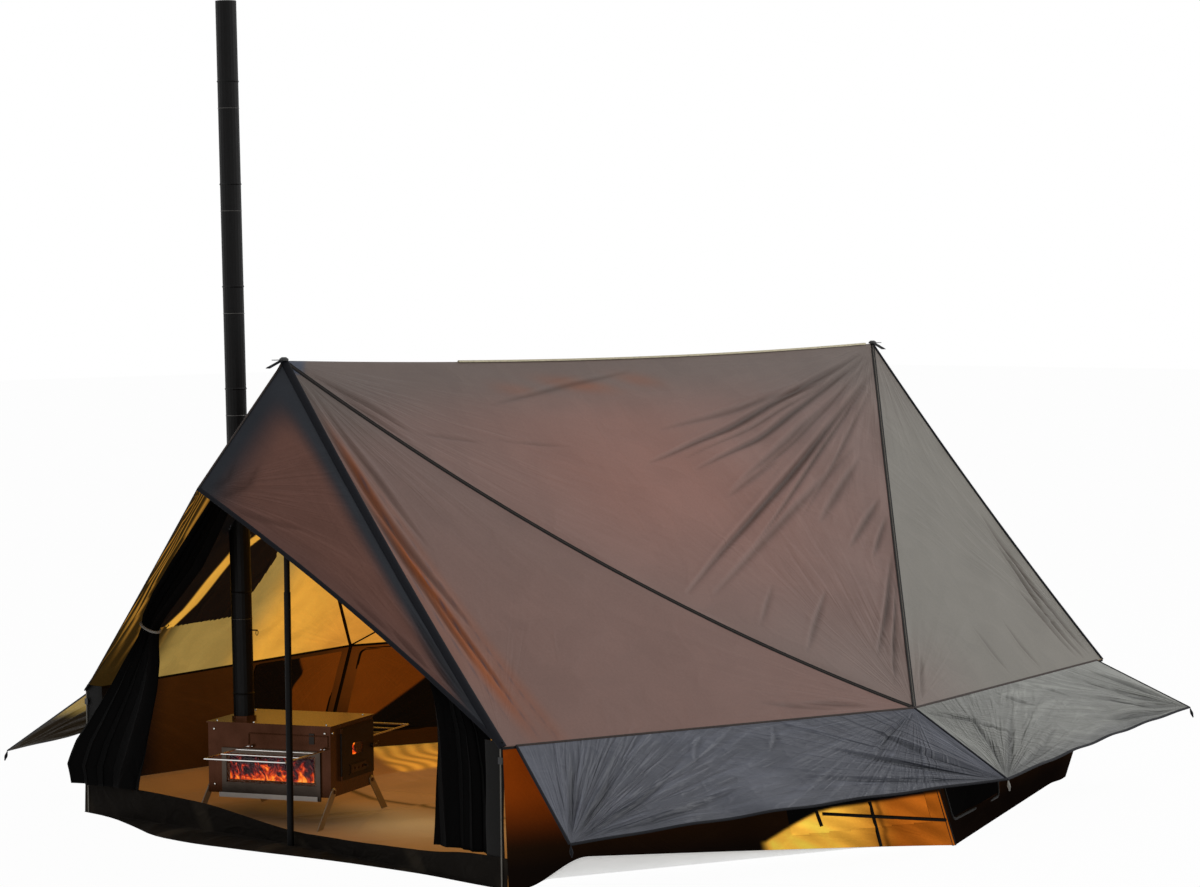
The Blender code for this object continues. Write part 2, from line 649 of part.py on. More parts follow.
def add_skirts():
    turn = math.atan2(MIDDLE_HALF_WIDTH - END_HALF_WIDTH, HALF_LENGTH)
    for side, hand in ((1, "right"), (-1, "left")):
        for end, place in ((-1, "front"), (1, "rear")):
            corners = skirt_corners(side, end)
            shares, faces, rim = quad_grid(30, 3)
            length = float(np.linalg.norm(corners[1] - corners[0]))
            height = float(np.linalg.norm(corners[2] - corners[1]))
            outer, inner = shares.copy(), shares.copy()
            mitre = GAP / 2 + CLOTH * math.tan(turn)
            outer[:, 0] = shares[:, 0] * (length - GAP) / length
            inner[:, 0] = shares[:, 0] * (length - mitre) / length
            for part in (outer, inner):
                part[:, 1] = (GAP + shares[:, 1] * (height - GAP)) / height
            normal = unit(np.cross(corners[1] - corners[0], corners[3] - corners[0]))
            normal = normal * np.sign(normal[2])
            mesh = shell_mesh(
                "skirt",
                skirt_points(side, end, outer),
                skirt_points(side, end, inner) - normal * CLOTH,
                faces,
                rim,
            )
            add_object(f"skirt_{hand}_{place}", mesh, "skirt_cloth")


def sill_half():
    return END_HALF_WIDTH + FRONT_FOOT[0] - 4 * CLOTH


def sill_line(x):
    # The sill's front face bows in behind the pole and meets the walls at both ends.
    share = np.clip(np.abs(x) / sill_half(), 0, 1)
    return -(HALF_LENGTH + CLOTH + GAP) + SILL_BOW * (1 - share**2) ** 2


def eased(table, x):
    # Values of a table of places and sizes, rounded off between its entries.
    places, sizes = np.array(table).T
    return sum(np.interp(x + shift * SILL_BOW, places, sizes) for shift in (-1, 0, 1)) / 3


def add_sill():
    # An upright strip whose foot turns forward over the ground, one cross-section carried across the door.
    stations = np.linspace(-sill_half(), sill_half(), SILL_COLUMNS + 1)
    points, faces = [], []
    for x in stations:
        front = float(sill_line(x))
        top, flap = float(eased(SILL_TOPS, x)), front - float(eased(SILL_FLAPS, x))
        points += [(x, flap, 0), (x, front + CLOTH, 0), (x, front + CLOTH, top)]
        points += [(x, front, top), (x, front, CLOTH), (x, flap, CLOTH)]
    for i in range(SILL_COLUMNS):
        for k in range(6):
            m = (k + 1) % 6
            faces.append((6 * i + k, 6 * i + m, 6 * i + 6 + m, 6 * i + 6 + k))
    faces += [tuple(range(6)), tuple(6 * SILL_COLUMNS + 5 - k for k in range(6))]
    add_object("front_sill", mesh_from_faces("front_sill", points, faces), "black_cloth")


def hem_line(side, end, stations):
    # Points just inside a wall's foot, with the height its hem has there.
    shares = np.stack([stations, np.ones_like(stations)], axis=1)
    points = wall_points(side, end, shares) - wall_outward(side, end) * (CLOTH + SHEET_CLEARANCE)
    points[:, 2] = np.maximum(wall_points(side, end, shares)[:, 2], 0)
    return points


def add_groundsheet():
    # Flat on the ground, with its border rising to the walls' hems.
    front_x = np.linspace(-sill_half(), sill_half(), SILL_COLUMNS + 1)
    front_y = np.maximum(sill_line(front_x) + CLOTH + GAP, SHEET_INSET - HALF_LENGTH)
    loop = [np.array([x, y, 0]) for x, y in zip(front_x, front_y)]
    away = np.linspace(0, 1, WALL_COLUMNS + 1)
    loop += list(hem_line(1, -1, away)[1:])
    loop += list(hem_line(1, 1, 1 - away)[1:-1])
    rear = hem_line(1, 1, away[:1])[0]
    rear[1] -= SHEET_INSET
    loop += [rear, rear * np.array([-1, 1, 1])]
    loop += list(hem_line(-1, 1, away)[1:])
    loop += list(hem_line(-1, -1, 1 - away)[1:-1])
    low = np.array(loop)
    lean = SHEET_THICKNESS * SHEET_LEAN_SHARE
    high = low + np.array([0, 0, SHEET_THICKNESS])
    high[:, 0] -= np.sign(low[:, 0]) * lean
    flat = low * np.array([SHEET_FLAT_SHARE, SHEET_FLAT_SHARE, 0])
    flat_high = flat + np.array([0, 0, SHEET_THICKNESS])
    count = len(low)
    faces = [tuple(range(3 * count, 4 * count)), tuple(range(count, 2 * count))[::-1]]
    for i in range(count):
        j = (i + 1) % count
        faces.append((i, count + i, count + j, j))
        faces.append((2 * count + i, 2 * count + j, 3 * count + j, 3 * count + i))
        faces.append((i, j, 2 * count + j, 2 * count + i))
    points = np.vstack([low, flat, high, flat_high])
    sheet = add_object("groundsheet", mesh_from_faces("groundsheet", points, faces), "groundsheet")
    near, far = SHEET_SEAM_PLACE - SHEET_SEAM_WIDTH / 2, SHEET_SEAM_PLACE + SHEET_SEAM_WIDTH / 2
    half = wall_points(1, -1, np.array([[1 + SHEET_SEAM_PLACE / HALF_LENGTH, 1.0]]))[0, 0]
    half *= (1 + SHEET_FLAT_SHARE) / 2
    seam_top = SHEET_THICKNESS + SHEET_SEAM_RISE
    seam = box_mesh("seam", (-half, near, SHEET_THICKNESS / 2), (half, far, seam_top))
    cut(sheet, add_cutter("sheet_seam", seam), "UNION")


def add_rear_door():
    # Its sides follow the inner face of the rear roof panels, a little in front of the rear pole.
    p = corner_points(1, 1)
    corners = np.array([p["apex"], p["middle"], p["eave"]])
    bulges = np.array([NONE, end_seam_bulge(1), DOWN * DIAGONAL_SAG])
    inward = outward_normal(corners) * (CLOTH + GAP)
    rows = []
    steps = np.linspace(0.03, 1.0, 12)
    for step in steps:
        beta = REAR_DOOR_INSET_SHARES[0] + (REAR_DOOR_INSET_SHARES[1] - REAR_DOOR_INSET_SHARES[0]) * step
        share = np.array([[(1 - step) * (1 - beta), beta, step * (1 - beta)]])
        row = panel_points(corners, bulges, share)[0] - inward
        rows.append(row - np.array([REAR_DOOR_EASE * step, 0, 0]))
    inset = np.array([2 * SHEET_INSET, 2 * SHEET_INSET, 0])
    rows.append(p["foot"] - inset + np.array([0, 0, SHEET_THICKNESS + GAP]))
    outer = []
    for row in rows:
        for share in (-1.0, 0.0, 1.0):
            outer.append((row[0] * share, row[1], row[2]))
    outer = np.array(outer)
    inner = outer - np.array([0, CLOTH, 0])
    count = len(rows)
    faces = []
    for i in range(count - 1):
        for j in range(2):
            a = i * 3 + j
            faces.append((a, a + 1, a + 4, a + 3))
    rim = [0, 1] + [i * 3 + 2 for i in range(count)] + [(count - 1) * 3 + 1]
    rim += [i * 3 for i in range(count - 1, 0, -1)]
    add_object("rear_door", shell_mesh("rear_door", outer, inner, faces, rim), "black_cloth")


def seat_height(ring_x, ring_y):
    # The sill's highest top edge between the places where a curtain's foot crosses it.
    count = len(ring_x)
    step = np.linspace(0, count, CURTAIN_POINTS * count, endpoint=False)
    x = np.interp(step, np.arange(count + 1), np.append(ring_x, ring_x[0]))
    y = np.interp(step, np.arange(count + 1), np.append(ring_y, ring_y[0]))
    crossed = x[:-1][np.diff(y < sill_line(x) + CLOTH / 2)]
    places = np.linspace(crossed.min(), crossed.max(), CURTAIN_POINTS * CURTAIN_POINTS)
    stations = np.linspace(-sill_half(), sill_half(), SILL_COLUMNS + 1)
    return float(np.interp(places, stations, eased(SILL_TOPS, stations)).max()) + GAP


def add_curtain(name, table, side):
    # Rows of a folded bundle from the top down, each a flat ring whose outline waves in and out.
    rows = []
    turn = np.linspace(0, 2 * math.pi, CURTAIN_POINTS, endpoint=False)
    for height_share, across_share, behind_share, width_share, depth_share, yaw in table:
        wave = 1 + CURTAIN_FOLD_SHARE * np.cos(2 * CURTAIN_FOLDS * turn)
        height, behind = APEX_HEIGHT * height_share, CURTAIN_THICKNESS * behind_share
        across, half_width = END_HALF_WIDTH * across_share, END_HALF_WIDTH * width_share
        half_depth = CURTAIN_THICKNESS * depth_share
        x = np.cos(turn) * half_width
        y = np.sin(turn) * half_depth * wave
        cosine, sine = math.cos(yaw), math.sin(yaw)
        middle = -HALF_LENGTH + behind
        ring_x = (across + x * cosine + y * sine * -1) * side
        ring_y = middle - x * sine + y * cosine
        if height_share == table[-1][0]:
            height = seat_height(ring_x, ring_y)
        rows.append(np.stack([ring_x, ring_y, np.full(CURTAIN_POINTS, height)], axis=1))
    points = np.vstack(rows)
    faces = [tuple(range(CURTAIN_POINTS))]
    faces.append(tuple(len(points) - 1 - index for index in range(CURTAIN_POINTS)))
    for i in range(len(rows) - 1):
        for j in range(CURTAIN_POINTS):
            k = (j + 1) % CURTAIN_POINTS
            a, b = i * CURTAIN_POINTS, (i + 1) * CURTAIN_POINTS
            faces.append((a + j, a + k, b + k, b + j))
    add_object(name, mesh_from_faces(name, points, faces), "black_cloth")


def turned(name, profile, sides, surface, place=(0, 0, 0), parent=None):
    # A closed profile of radius and height pairs, turned about Z. Radius zero closes on the axis.
    work = bmesh.new()
    rings = []
    for radius, height in profile:
        if radius == 0:
            rings.append([work.verts.new((0, 0, height))])
            continue
        ring = []
        for k in range(sides):
            angle = 2 * math.pi * k / sides
            ring.append(work.verts.new((radius * math.cos(angle), radius * math.sin(angle), height)))
        rings.append(ring)
    closed = profile[0][0] != 0 or profile[-1][0] != 0
    pairs = list(zip(rings, rings[1:]))
    if closed:
        pairs.append((rings[-1], rings[0]))
    for first, second in pairs:
        for k in range(sides):
            m = (k + 1) % sides
            if len(first) == 1:
                work.faces.new((first[0], second[m], second[k]))
            elif len(second) == 1:
                work.faces.new((first[k], first[m], second[0]))
            else:
                work.faces.new((first[k], first[m], second[m], second[k]))
    item = add_object(name, mesh_from_bmesh(name, work), surface, parent)
    item.location = place
    return item


def steepest_slope(side, end):
    p = corner_points(side, end)
    hood = outward_normal(np.array([p["apex"], p["tip"], p["eave"]]))
    return math.hypot(hood[0], hood[1]) / abs(hood[2])


def add_poles():
    slope = steepest_slope(1, -1)
    tip = APEX_HEIGHT - SPIKE_RADIUS * slope - CLOTH * math.hypot(1, slope) - GAP
    bore = POLE_RADIUS - POLE_WALL
    inner = bore - POLE_FIT
    for end, place in ((-1, "front"), (1, "rear")):
        # The front pole stands on the foot of the sill, the rear one on the ground behind the groundsheet.
        y = (HALF_LENGTH - APEX_INSET) * end
        foot = CLOTH + GAP if end < 0 else 0
        step = POLE_JOINT_HEIGHT - POLE_OVERLAP - GAP
        lower = [(0, step), (bore, step), (bore, POLE_JOINT_HEIGHT), (POLE_RADIUS, POLE_JOINT_HEIGHT)]
        lower += [(POLE_RADIUS, foot), (0, foot)]
        turned(f"{place}_pole_lower", lower, 16, "pole_metal", (0, y, 0))
        base = POLE_JOINT_HEIGHT - POLE_OVERLAP
        spike_base = tip - SPIKE_LENGTH
        upper = [(0, tip), (SPIKE_RADIUS, tip - SPIKE_RADIUS / 4), (SPIKE_RADIUS, spike_base)]
        upper += [(inner, spike_base - POLE_SHOULDER), (inner, base), (0, base)]
        turned(f"{place}_pole_upper", upper, 16, "pole_metal", (0, y, 0))


def add_caps():
    for end, place in ((-1, "front"), (1, "rear")):
        y = (HALF_LENGTH - APEX_INSET) * end
        bottom = APEX_HEIGHT + GAP
        profile = [(0, bottom), (CAP_RADIUS, bottom), (CAP_RADIUS, bottom + CAP_HEIGHT / 2)]
        profile += [(CAP_RADIUS / 2, bottom + CAP_HEIGHT), (0, bottom + CAP_HEIGHT)]
        cap = turned(f"apex_cap_{place}", profile, 16, "cap_plastic")
        cap.location = (0, y, 0)
        tab = [(-TAB_WIDTH / 2, 0), (TAB_WIDTH / 2, 0)]
        tab += [(TAB_WIDTH / 2, TAB_LENGTH * end), (-TAB_WIDTH / 2, TAB_LENGTH * end)]
        tab = [(x, y + along) for x, along in tab]
        low = bottom + TAB_THICKNESS / 2
        joined = add_cutter(f"tab_{place}", prism("tab", tab, low, low + TAB_THICKNESS, "Z"))
        cut(cap, joined, "UNION")


def box_mesh(name, low, high):
    outline = [(low[0], low[1]), (high[0], low[1]), (high[0], high[1]), (low[0], high[1])]
    return prism(name, outline, low[2], high[2], "Z")


def add_box(name, low, high, surface, parent=None):
    return add_object(name, box_mesh(name, low, high), surface, parent)


def strap_place(side):
    x = (END_HALF_WIDTH - STRAP_INSET) * side
    back = -(HALF_LENGTH + 2 * CLOTH + GAP * 3)
    return x, back


def add_corner_straps():
    for side, hand in ((1, "right"), (-1, "left")):
        x, back = strap_place(side)
        low = (x - STRAP_WIDTH / 2, back - STRAP_THICKNESS, CLOTH + GAP)
        high = (x + STRAP_WIDTH / 2, back, STRAP_TOP)
        add_box(f"corner_strap_{hand}", low, high, "strap_webbing")
        middle_y = back - STRAP_THICKNESS / 2
        low = (x - BUCKLE_WIDTH / 2, middle_y - BUCKLE_DEPTH / 2, BUCKLE_TOP - BUCKLE_HEIGHT)
        high = (x + BUCKLE_WIDTH / 2, middle_y + BUCKLE_DEPTH / 2, BUCKLE_TOP)
        buckle = add_box(f"strap_buckle_{hand}", low, high, "cap_plastic")
        set_origin(buckle, (x, middle_y, BUCKLE_TOP))
        low = (x - STRAP_WIDTH / 2 - GAP, middle_y - STRAP_THICKNESS / 2 - GAP, 0)
        high = (x + STRAP_WIDTH / 2 + GAP, middle_y + STRAP_THICKNESS / 2 + GAP, EAVE_HEIGHT)
        cut(buckle, add_cutter(f"cut_buckle_{hand}", box_mesh("slot", low, high)))


def jack_outline(shrink):
    centre = np.array(FLUE_PLACE)
    points = centre + JACK_SIZE * np.array(JACK_OUTLINE_SHARES)
    middle = points.mean(axis=0)
    away = points - middle
    return [tuple(middle + d * (1 - shrink / np.linalg.norm(d))) for d in away]


def cylinder_mesh(name, radius, low, high, centre=(0, 0), sides=24):
    outline = []
    for k in range(sides):
        angle = 2 * math.pi * (k + 0.5) / sides
        outline.append((centre[0] + radius * math.cos(angle), centre[1] + radius * math.sin(angle)))
    return prism(name, outline, low, high, "Z")


def add_jack(flue):
    panel = bpy.data.objects["roof_left_front"]
    jack = add_object("stove_jack", panel.data.copy(), "jack_cloth")
    jack.data.materials.clear()
    jack.data.materials.append(finish("jack_cloth"))
    hole = prism("jack_hole", jack_outline(0), EAVE_HEIGHT, APEX_HEIGHT + OVERRUN, "Z")
    keep = prism("jack_keep", jack_outline(2 * GAP), EAVE_HEIGHT, APEX_HEIGHT + OVERRUN, "Z")
    bore = cylinder_mesh("jack_bore", FLUE_RADIUS + 2 * GAP, 0, APEX_HEIGHT, (0, 0), 28)
    cut(panel, add_cutter("cut_jack", hole))
    cut(jack, add_cutter("keep_jack", keep), "INTERSECT")
    cut(jack, add_cutter("cut_flue", bore, flue))


# Stove


def tube_mesh(name, start, stop, radius, sides=8):
    work = bmesh.new()
    start, stop = Vector(start), Vector(stop)
    length = (stop - start).length
    turn = (stop - start).to_track_quat("Z", "Y").to_matrix().to_4x4()
    bmesh.ops.create_cone(
        work, cap_ends=True, segments=sides, radius1=radius, radius2=radius, depth=length,
        matrix=Matrix.Translation((start + stop) / 2) @ turn,
    )
    return mesh_from_bmesh(name, work)


def wire_mesh(name, points, radius, sides=8, closed=False):
    # A round wire through the points, its rings square to the bisector at each bend.
    points = [Vector(p) for p in points]
    count = len(points)
    work = bmesh.new()
    rings = []
    for i, point in enumerate(points):
        before = points[i - 1] if i > 0 or closed else point
        after = points[(i + 1) % count] if i < count - 1 or closed else point
        into = (point - before).normalized() if point != before else (after - point).normalized()
        out = (after - point).normalized() if after != point else into
        along = (into + out).normalized()
        normal = into.cross(out)
        if normal.length < STRAIGHT_SHARE:
            normal = along.orthogonal()
        normal.normalize()
        across = along.cross(normal)
        stretch = 1 / max(0.5, along.dot(out))
        rings.append((point, normal, across, stretch, along))
    frame_up = None
    loops = []
    for point, normal, across, stretch, along in rings:
        if frame_up is None:
            frame_up = along.orthogonal().normalized()
        frame_up = (frame_up - along * frame_up.dot(along)).normalized()
        side = along.cross(frame_up)
        loop = []
        for k in range(sides):
            angle = 2 * math.pi * k / sides
            offset = (frame_up * math.cos(angle) + side * math.sin(angle)) * radius
            offset = offset + across * offset.dot(across) * (stretch - 1)
            loop.append(work.verts.new(point + offset))
        loops.append(loop)
    pairs = list(zip(loops, loops[1:]))
    if closed:
        pairs.append((loops[-1], loops[0]))
    for first, second in pairs:
        for k in range(sides):
            m = (k + 1) % sides
            work.faces.new((first[k], first[m], second[m], second[k]))
    if not closed:
        work.faces.new(list(reversed(loops[0])))
        work.faces.new(loops[-1])
    return mesh_from_bmesh(name, work)


def add_stove_frame():
    stove = bpy.data.objects.new("stove_place", None)
    bpy.context.collection.objects.link(stove)
    stove.location = (*STOVE_PLACE, 0)
    stove.rotation_euler = (0, 0, math.radians(STOVE_TURN))
    return stove


def add_flue_frame():
    # The flue stands on the stove's top and leans a little.
    flue = bpy.data.objects.new("flue_place", None)
    bpy.context.collection.objects.link(flue)
    flue.location = (*FLUE_PLACE, BODY_TOP)
    flue.rotation_euler = Vector((0, 0, 1)).rotation_difference(Vector((*FLUE_LEAN, 1))).to_euler()
    return flue


def leg_pivots():
    # End sign, side sign and the pivot's place along the depth.
    depth = BODY_DEPTH / 2 - LEG_PIVOT_INSET
    return [(end, side, depth * side) for end in (-1, 1) for side in (-1, 1)]


def set_origin(item, point):
    # A moving piece turns or slides about its own origin.
    point = Vector(point)
    item.data.transform(Matrix.Translation(-point))
    item.location = point


def join_all(item, meshes, parent):
    for index, mesh in enumerate(meshes):
        cut(item, add_cutter(f"{item.name}_join_{index}", mesh, parent), "UNION")


def door_sides():
    return DOOR_SHIFT - DOOR_WIDTH / 2, DOOR_SHIFT + DOOR_WIDTH / 2


def hinge_place():
    return BODY_LENGTH / 2 + HINGE_STANDOFF, door_sides()[0] - HINGE_SIDE_GAP


def add_firebox(stove, flue):
    half_x, half_y = BODY_LENGTH / 2, BODY_DEPTH / 2
    body = add_box("firebox", (-half_x, -half_y, BODY_BOTTOM), (half_x, half_y, BODY_TOP),
                   "stove_steel", stove)
    left, right = glass_sides()
    near, far = door_sides()
    collar = (FLUE_RADIUS - FLUE_WALL) * math.cos(math.pi / FLUE_SIDES) - FLUE_FIT
    hinge_x, hinge_y = hinge_place()
    door_top = DOOR_BOTTOM + DOOR_HEIGHT
    joins = [
        box_mesh(
            "top_plate",
            (-half_x - TOP_LIP, -half_y - TOP_LIP, BODY_TOP - TOP_THICKNESS),
            (half_x + TOP_LIP, half_y + TOP_LIP, BODY_TOP + TOP_THICKNESS / 2),
        ),
        tube_mesh("hinge_pin", (hinge_x, hinge_y, DOOR_BOTTOM + HINGE_END / 2),
                  (hinge_x, hinge_y, door_top - HINGE_END / 2), HINGE_PIN_RADIUS),
    ]
    for low in (DOOR_BOTTOM, door_top - HINGE_END):
        joins.append(tube_mesh("knuckle", (hinge_x, hinge_y, low), (hinge_x, hinge_y, low + HINGE_END),
                               HINGE_RADIUS, 12))
        joins.append(box_mesh("knuckle_leaf", (half_x - BODY_WALL / 2, hinge_y - HINGE_RADIUS / 2, low),
                              (hinge_x, hinge_y + HINGE_RADIUS / 2, low + HINGE_END)))
    for end, side, y in leg_pivots():
        face = half_x * end
        bolt_end = face + (LEG_THICKNESS + 2 * LEG_FIT + LEG_BOLT_HEAD_LENGTH) * end
        head_start = face + (LEG_THICKNESS + 2 * LEG_FIT) * end
        z = LEG_PIVOT_HEIGHT
        joins.append(tube_mesh("bolt", (face - BODY_WALL / 2 * end, y, z),
                               (head_start + LEG_BOLT_HEAD_LENGTH / 2 * end, y, z), LEG_BOLT_RADIUS, 12))
        joins.append(tube_mesh("bolt_head", (head_start, y, z), (bolt_end, y, z), LEG_BOLT_HEAD, 6))
    for side in (-1, 1):
        joins += guard_and_sockets(side)
    join_all(body, joins, stove)
    ring = cylinder_mesh("flue_ring", FLUE_RADIUS + COLLAR_RING, -TOP_THICKNESS / 2, COLLAR_BASE, (0, 0),
                         FLUE_SIDES)
    rising = cylinder_mesh("flue_collar", collar, 0, COLLAR_HEIGHT, (0, 0), FLUE_SIDES)
    bore = cylinder_mesh("flue_bore", collar - FLUE_WALL, -OVERRUN, COLLAR_HEIGHT + OVERRUN, (0, 0),
                         FLUE_SIDES)
    cut(body, add_cutter("firebox_ring", ring, flue), "UNION")
    cut(body, add_cutter("firebox_collar", rising, flue), "UNION")
    cuts = [
        box_mesh("hollow", (-half_x + BODY_WALL, -half_y + BODY_WALL, BODY_BOTTOM + BODY_WALL),
                 (half_x - BODY_WALL, half_y - BODY_WALL, BODY_TOP - TOP_THICKNESS)),
        box_mesh("front_hole",
                 (left + FRONT_HOLE_MARGIN, -half_y - BODY_WALL, glass_low() + FRONT_HOLE_MARGIN),
                 (right - FRONT_HOLE_MARGIN, -half_y + OVERRUN, glass_high() - FRONT_HOLE_MARGIN)),
        box_mesh("door_hole", (half_x - OVERRUN, near + DOOR_HOLE_MARGIN, DOOR_BOTTOM + DOOR_HOLE_MARGIN),
                 (half_x + BODY_WALL, far - DOOR_HOLE_MARGIN, door_top - DOOR_HOLE_MARGIN)),
    ]
    for index, mesh in enumerate(cuts):
        cut(body, add_cutter(f"firebox_cut_{index}", mesh, stove))
    cut(body, add_cutter("firebox_bore", bore, flue))


def glass_sides():
    half = FRAME_LENGTH / 2 - FRAME_BAR
    return FRAME_SHIFT - half, FRAME_SHIFT + half


def glass_low():
    return FRAME_BOTTOM + FRAME_FOOT


def glass_high():
    return FRAME_BOTTOM + FRAME_HEIGHT - FRAME_BAR


def add_front_glass(stove):
    face = -BODY_DEPTH / 2 - GAP
    half = FRAME_LENGTH / 2
    frame = add_box("front_glass_frame", (FRAME_SHIFT - half, face - FRAME_DEPTH, FRAME_BOTTOM),
                    (FRAME_SHIFT + half, face, FRAME_BOTTOM + FRAME_HEIGHT), "frame_steel", stove)
    left, right = glass_sides()
    opening = box_mesh("frame_opening", (left, face - FRAME_DEPTH - OVERRUN, glass_low()),
                       (right, face + OVERRUN, glass_high()))
    cut(frame, add_cutter("cut_frame", opening, stove))
    add_box("front_glass", (left + GAP, face - GLASS_THICKNESS, glass_low() + GAP),
            (right - GAP, face, glass_high() - GAP), "stove_glass", stove)


def door_faces():
    inner = BODY_LENGTH / 2 + TOP_LIP / 4 + GAP
    return inner, inner + DOOR_THICKNESS


def handle_place():
    return door_sides()[1] - HANDLE_EDGE, HANDLE_HEIGHT


def add_door(stove):
    inner, outer = door_faces()
    hinge_x, hinge_y = hinge_place()
    door_top = DOOR_BOTTOM + DOOR_HEIGHT
    near, far = door_sides()
    door = add_box("stove_door", (inner, near, DOOR_BOTTOM), (outer, far, door_top), "door_steel", stove)
    low, high = DOOR_BOTTOM + HINGE_END + HINGE_FIT, door_top - HINGE_END - HINGE_FIT
    slide_low, slide_high = SLIDE_BOTTOM - GAP, SLIDE_BOTTOM + SLIDE_HEIGHT + GAP
    rail_half = (SLIDE_LENGTH + SLIDE_TRAVEL) / 2
    rail_out = outer + SLIDE_THICKNESS + 2 * GAP
    joins = [
        tube_mesh("door_knuckle", (hinge_x, hinge_y, low), (hinge_x, hinge_y, high), HINGE_RADIUS, 12),
        box_mesh("door_leaf", (hinge_x - HINGE_RADIUS / 2, hinge_y, low),
                 (outer, near + HINGE_RADIUS, high)),
        box_mesh("rail_low", (outer - DOOR_THICKNESS / 2, DOOR_SHIFT - rail_half, slide_low - RAIL_HEIGHT),
                 (rail_out, DOOR_SHIFT + rail_half, slide_low)),
        box_mesh("rail_high", (outer - DOOR_THICKNESS / 2, DOOR_SHIFT - rail_half, slide_high),
                 (rail_out, DOOR_SHIFT + rail_half, slide_high + RAIL_HEIGHT)),
    ]
    join_all(door, joins, stove)
    set_origin(door, (hinge_x, hinge_y, DOOR_BOTTOM))
    handle_y, handle_z = handle_place()
    glass_near = DOOR_SHIFT + DOOR_GLASS_SHIFT - DOOR_GLASS_WIDTH / 2
    cuts = [
        tube_mesh("pin_bore", (hinge_x, hinge_y, low - OVERRUN), (hinge_x, hinge_y, high + OVERRUN),
                  HINGE_PIN_RADIUS + HINGE_FIT, 12),
        tube_mesh("handle_bore", (inner - OVERRUN, handle_y, handle_z),
                  (outer + OVERRUN, handle_y, handle_z), HANDLE_PIN_RADIUS + HINGE_FIT, 16),
        box_mesh("glass_hole", (inner - OVERRUN, glass_near, DOOR_GLASS_BOTTOM),
                 (outer + OVERRUN, glass_near + DOOR_GLASS_WIDTH, DOOR_GLASS_BOTTOM + DOOR_GLASS_HEIGHT)),
    ]
    cuts += air_holes("door_air", inner - OVERRUN, outer + OVERRUN)
    for index, mesh in enumerate(cuts):
        cut(door, add_cutter(f"door_cut_{index}", mesh, stove))
    middle = (inner + outer) / 2
    add_box("door_glass", (middle - GLASS_THICKNESS / 2, glass_near + GAP, DOOR_GLASS_BOTTOM + GAP),
            (middle + GLASS_THICKNESS / 2, glass_near + DOOR_GLASS_WIDTH - GAP,
             DOOR_GLASS_BOTTOM + DOOR_GLASS_HEIGHT - GAP), "stove_glass", stove)


def air_holes(name, low, high):
    spacing = SLIDE_LENGTH / (AIR_HOLES + 1)
    z = SLIDE_BOTTOM + SLIDE_HEIGHT / 2
    found = []
    for k in range(AIR_HOLES):
        y = DOOR_SHIFT + (k - (AIR_HOLES - 1) / 2) * spacing
        found.append(tube_mesh(f"{name}_{k}", (low, y, z), (high, y, z), AIR_HOLE_RADIUS, 12))
    return found


def add_air_slide(stove):
    _, outer = door_faces()
    low_x = outer + GAP
    half = SLIDE_LENGTH / 2
    slide = add_box("air_slide", (low_x, DOOR_SHIFT - half, SLIDE_BOTTOM),
                    (low_x + SLIDE_THICKNESS, DOOR_SHIFT + half, SLIDE_BOTTOM + SLIDE_HEIGHT),
                    "frame_steel", stove)
    set_origin(slide, (low_x, DOOR_SHIFT, SLIDE_BOTTOM))
    knob_y = DOOR_SHIFT + half - KNOB_RADIUS * 1.5
    z = SLIDE_BOTTOM + SLIDE_HEIGHT / 2
    knob = tube_mesh("slide_knob", (low_x + SLIDE_THICKNESS / 2, knob_y, z),
                     (low_x + KNOB_LENGTH, knob_y, z), KNOB_RADIUS, 12)
    join_all(slide, [knob], stove)
    for index, mesh in enumerate(air_holes("slide_air", low_x - OVERRUN, low_x + OVERRUN)):
        cut(slide, add_cutter(f"slide_cut_{index}", mesh, stove))


def add_door_handle(stove):
    inner, outer = door_faces()
    y, z = handle_place()
    start = outer + GAP
    boss_end = start + HANDLE_BOSS_LENGTH
    boss = tube_mesh("boss", (start, y, z), (boss_end, y, z), HANDLE_BOSS_RADIUS, 16)
    item = add_object("door_handle", boss, "frame_steel", stove)
    half = HANDLE_ARM_WIDTH / 2
    arm = box_mesh("handle_arm", (boss_end - HANDLE_ARM_THICKNESS, y, z - half),
                   (boss_end, y + HANDLE_ARM_LENGTH, z + half))
    ring = []
    ring_y = y + HANDLE_ARM_LENGTH + RING_RADIUS - RING_WIRE
    ring_x = boss_end - HANDLE_ARM_THICKNESS / 2
    for k in range(16):
        angle = 2 * math.pi * (k + 0.5) / 16
        ring.append((ring_x, ring_y + RING_RADIUS * math.cos(angle), z + RING_RADIUS * math.sin(angle)))
    pin = tube_mesh("handle_pin", (inner, y, z), (start + HANDLE_BOSS_LENGTH / 2, y, z),
                    HANDLE_PIN_RADIUS, 12)
    set_origin(item, (start, y, z))
    join_all(item, [arm, pin, wire_mesh("handle_ring", ring, RING_WIRE, 8, closed=True)], stove)


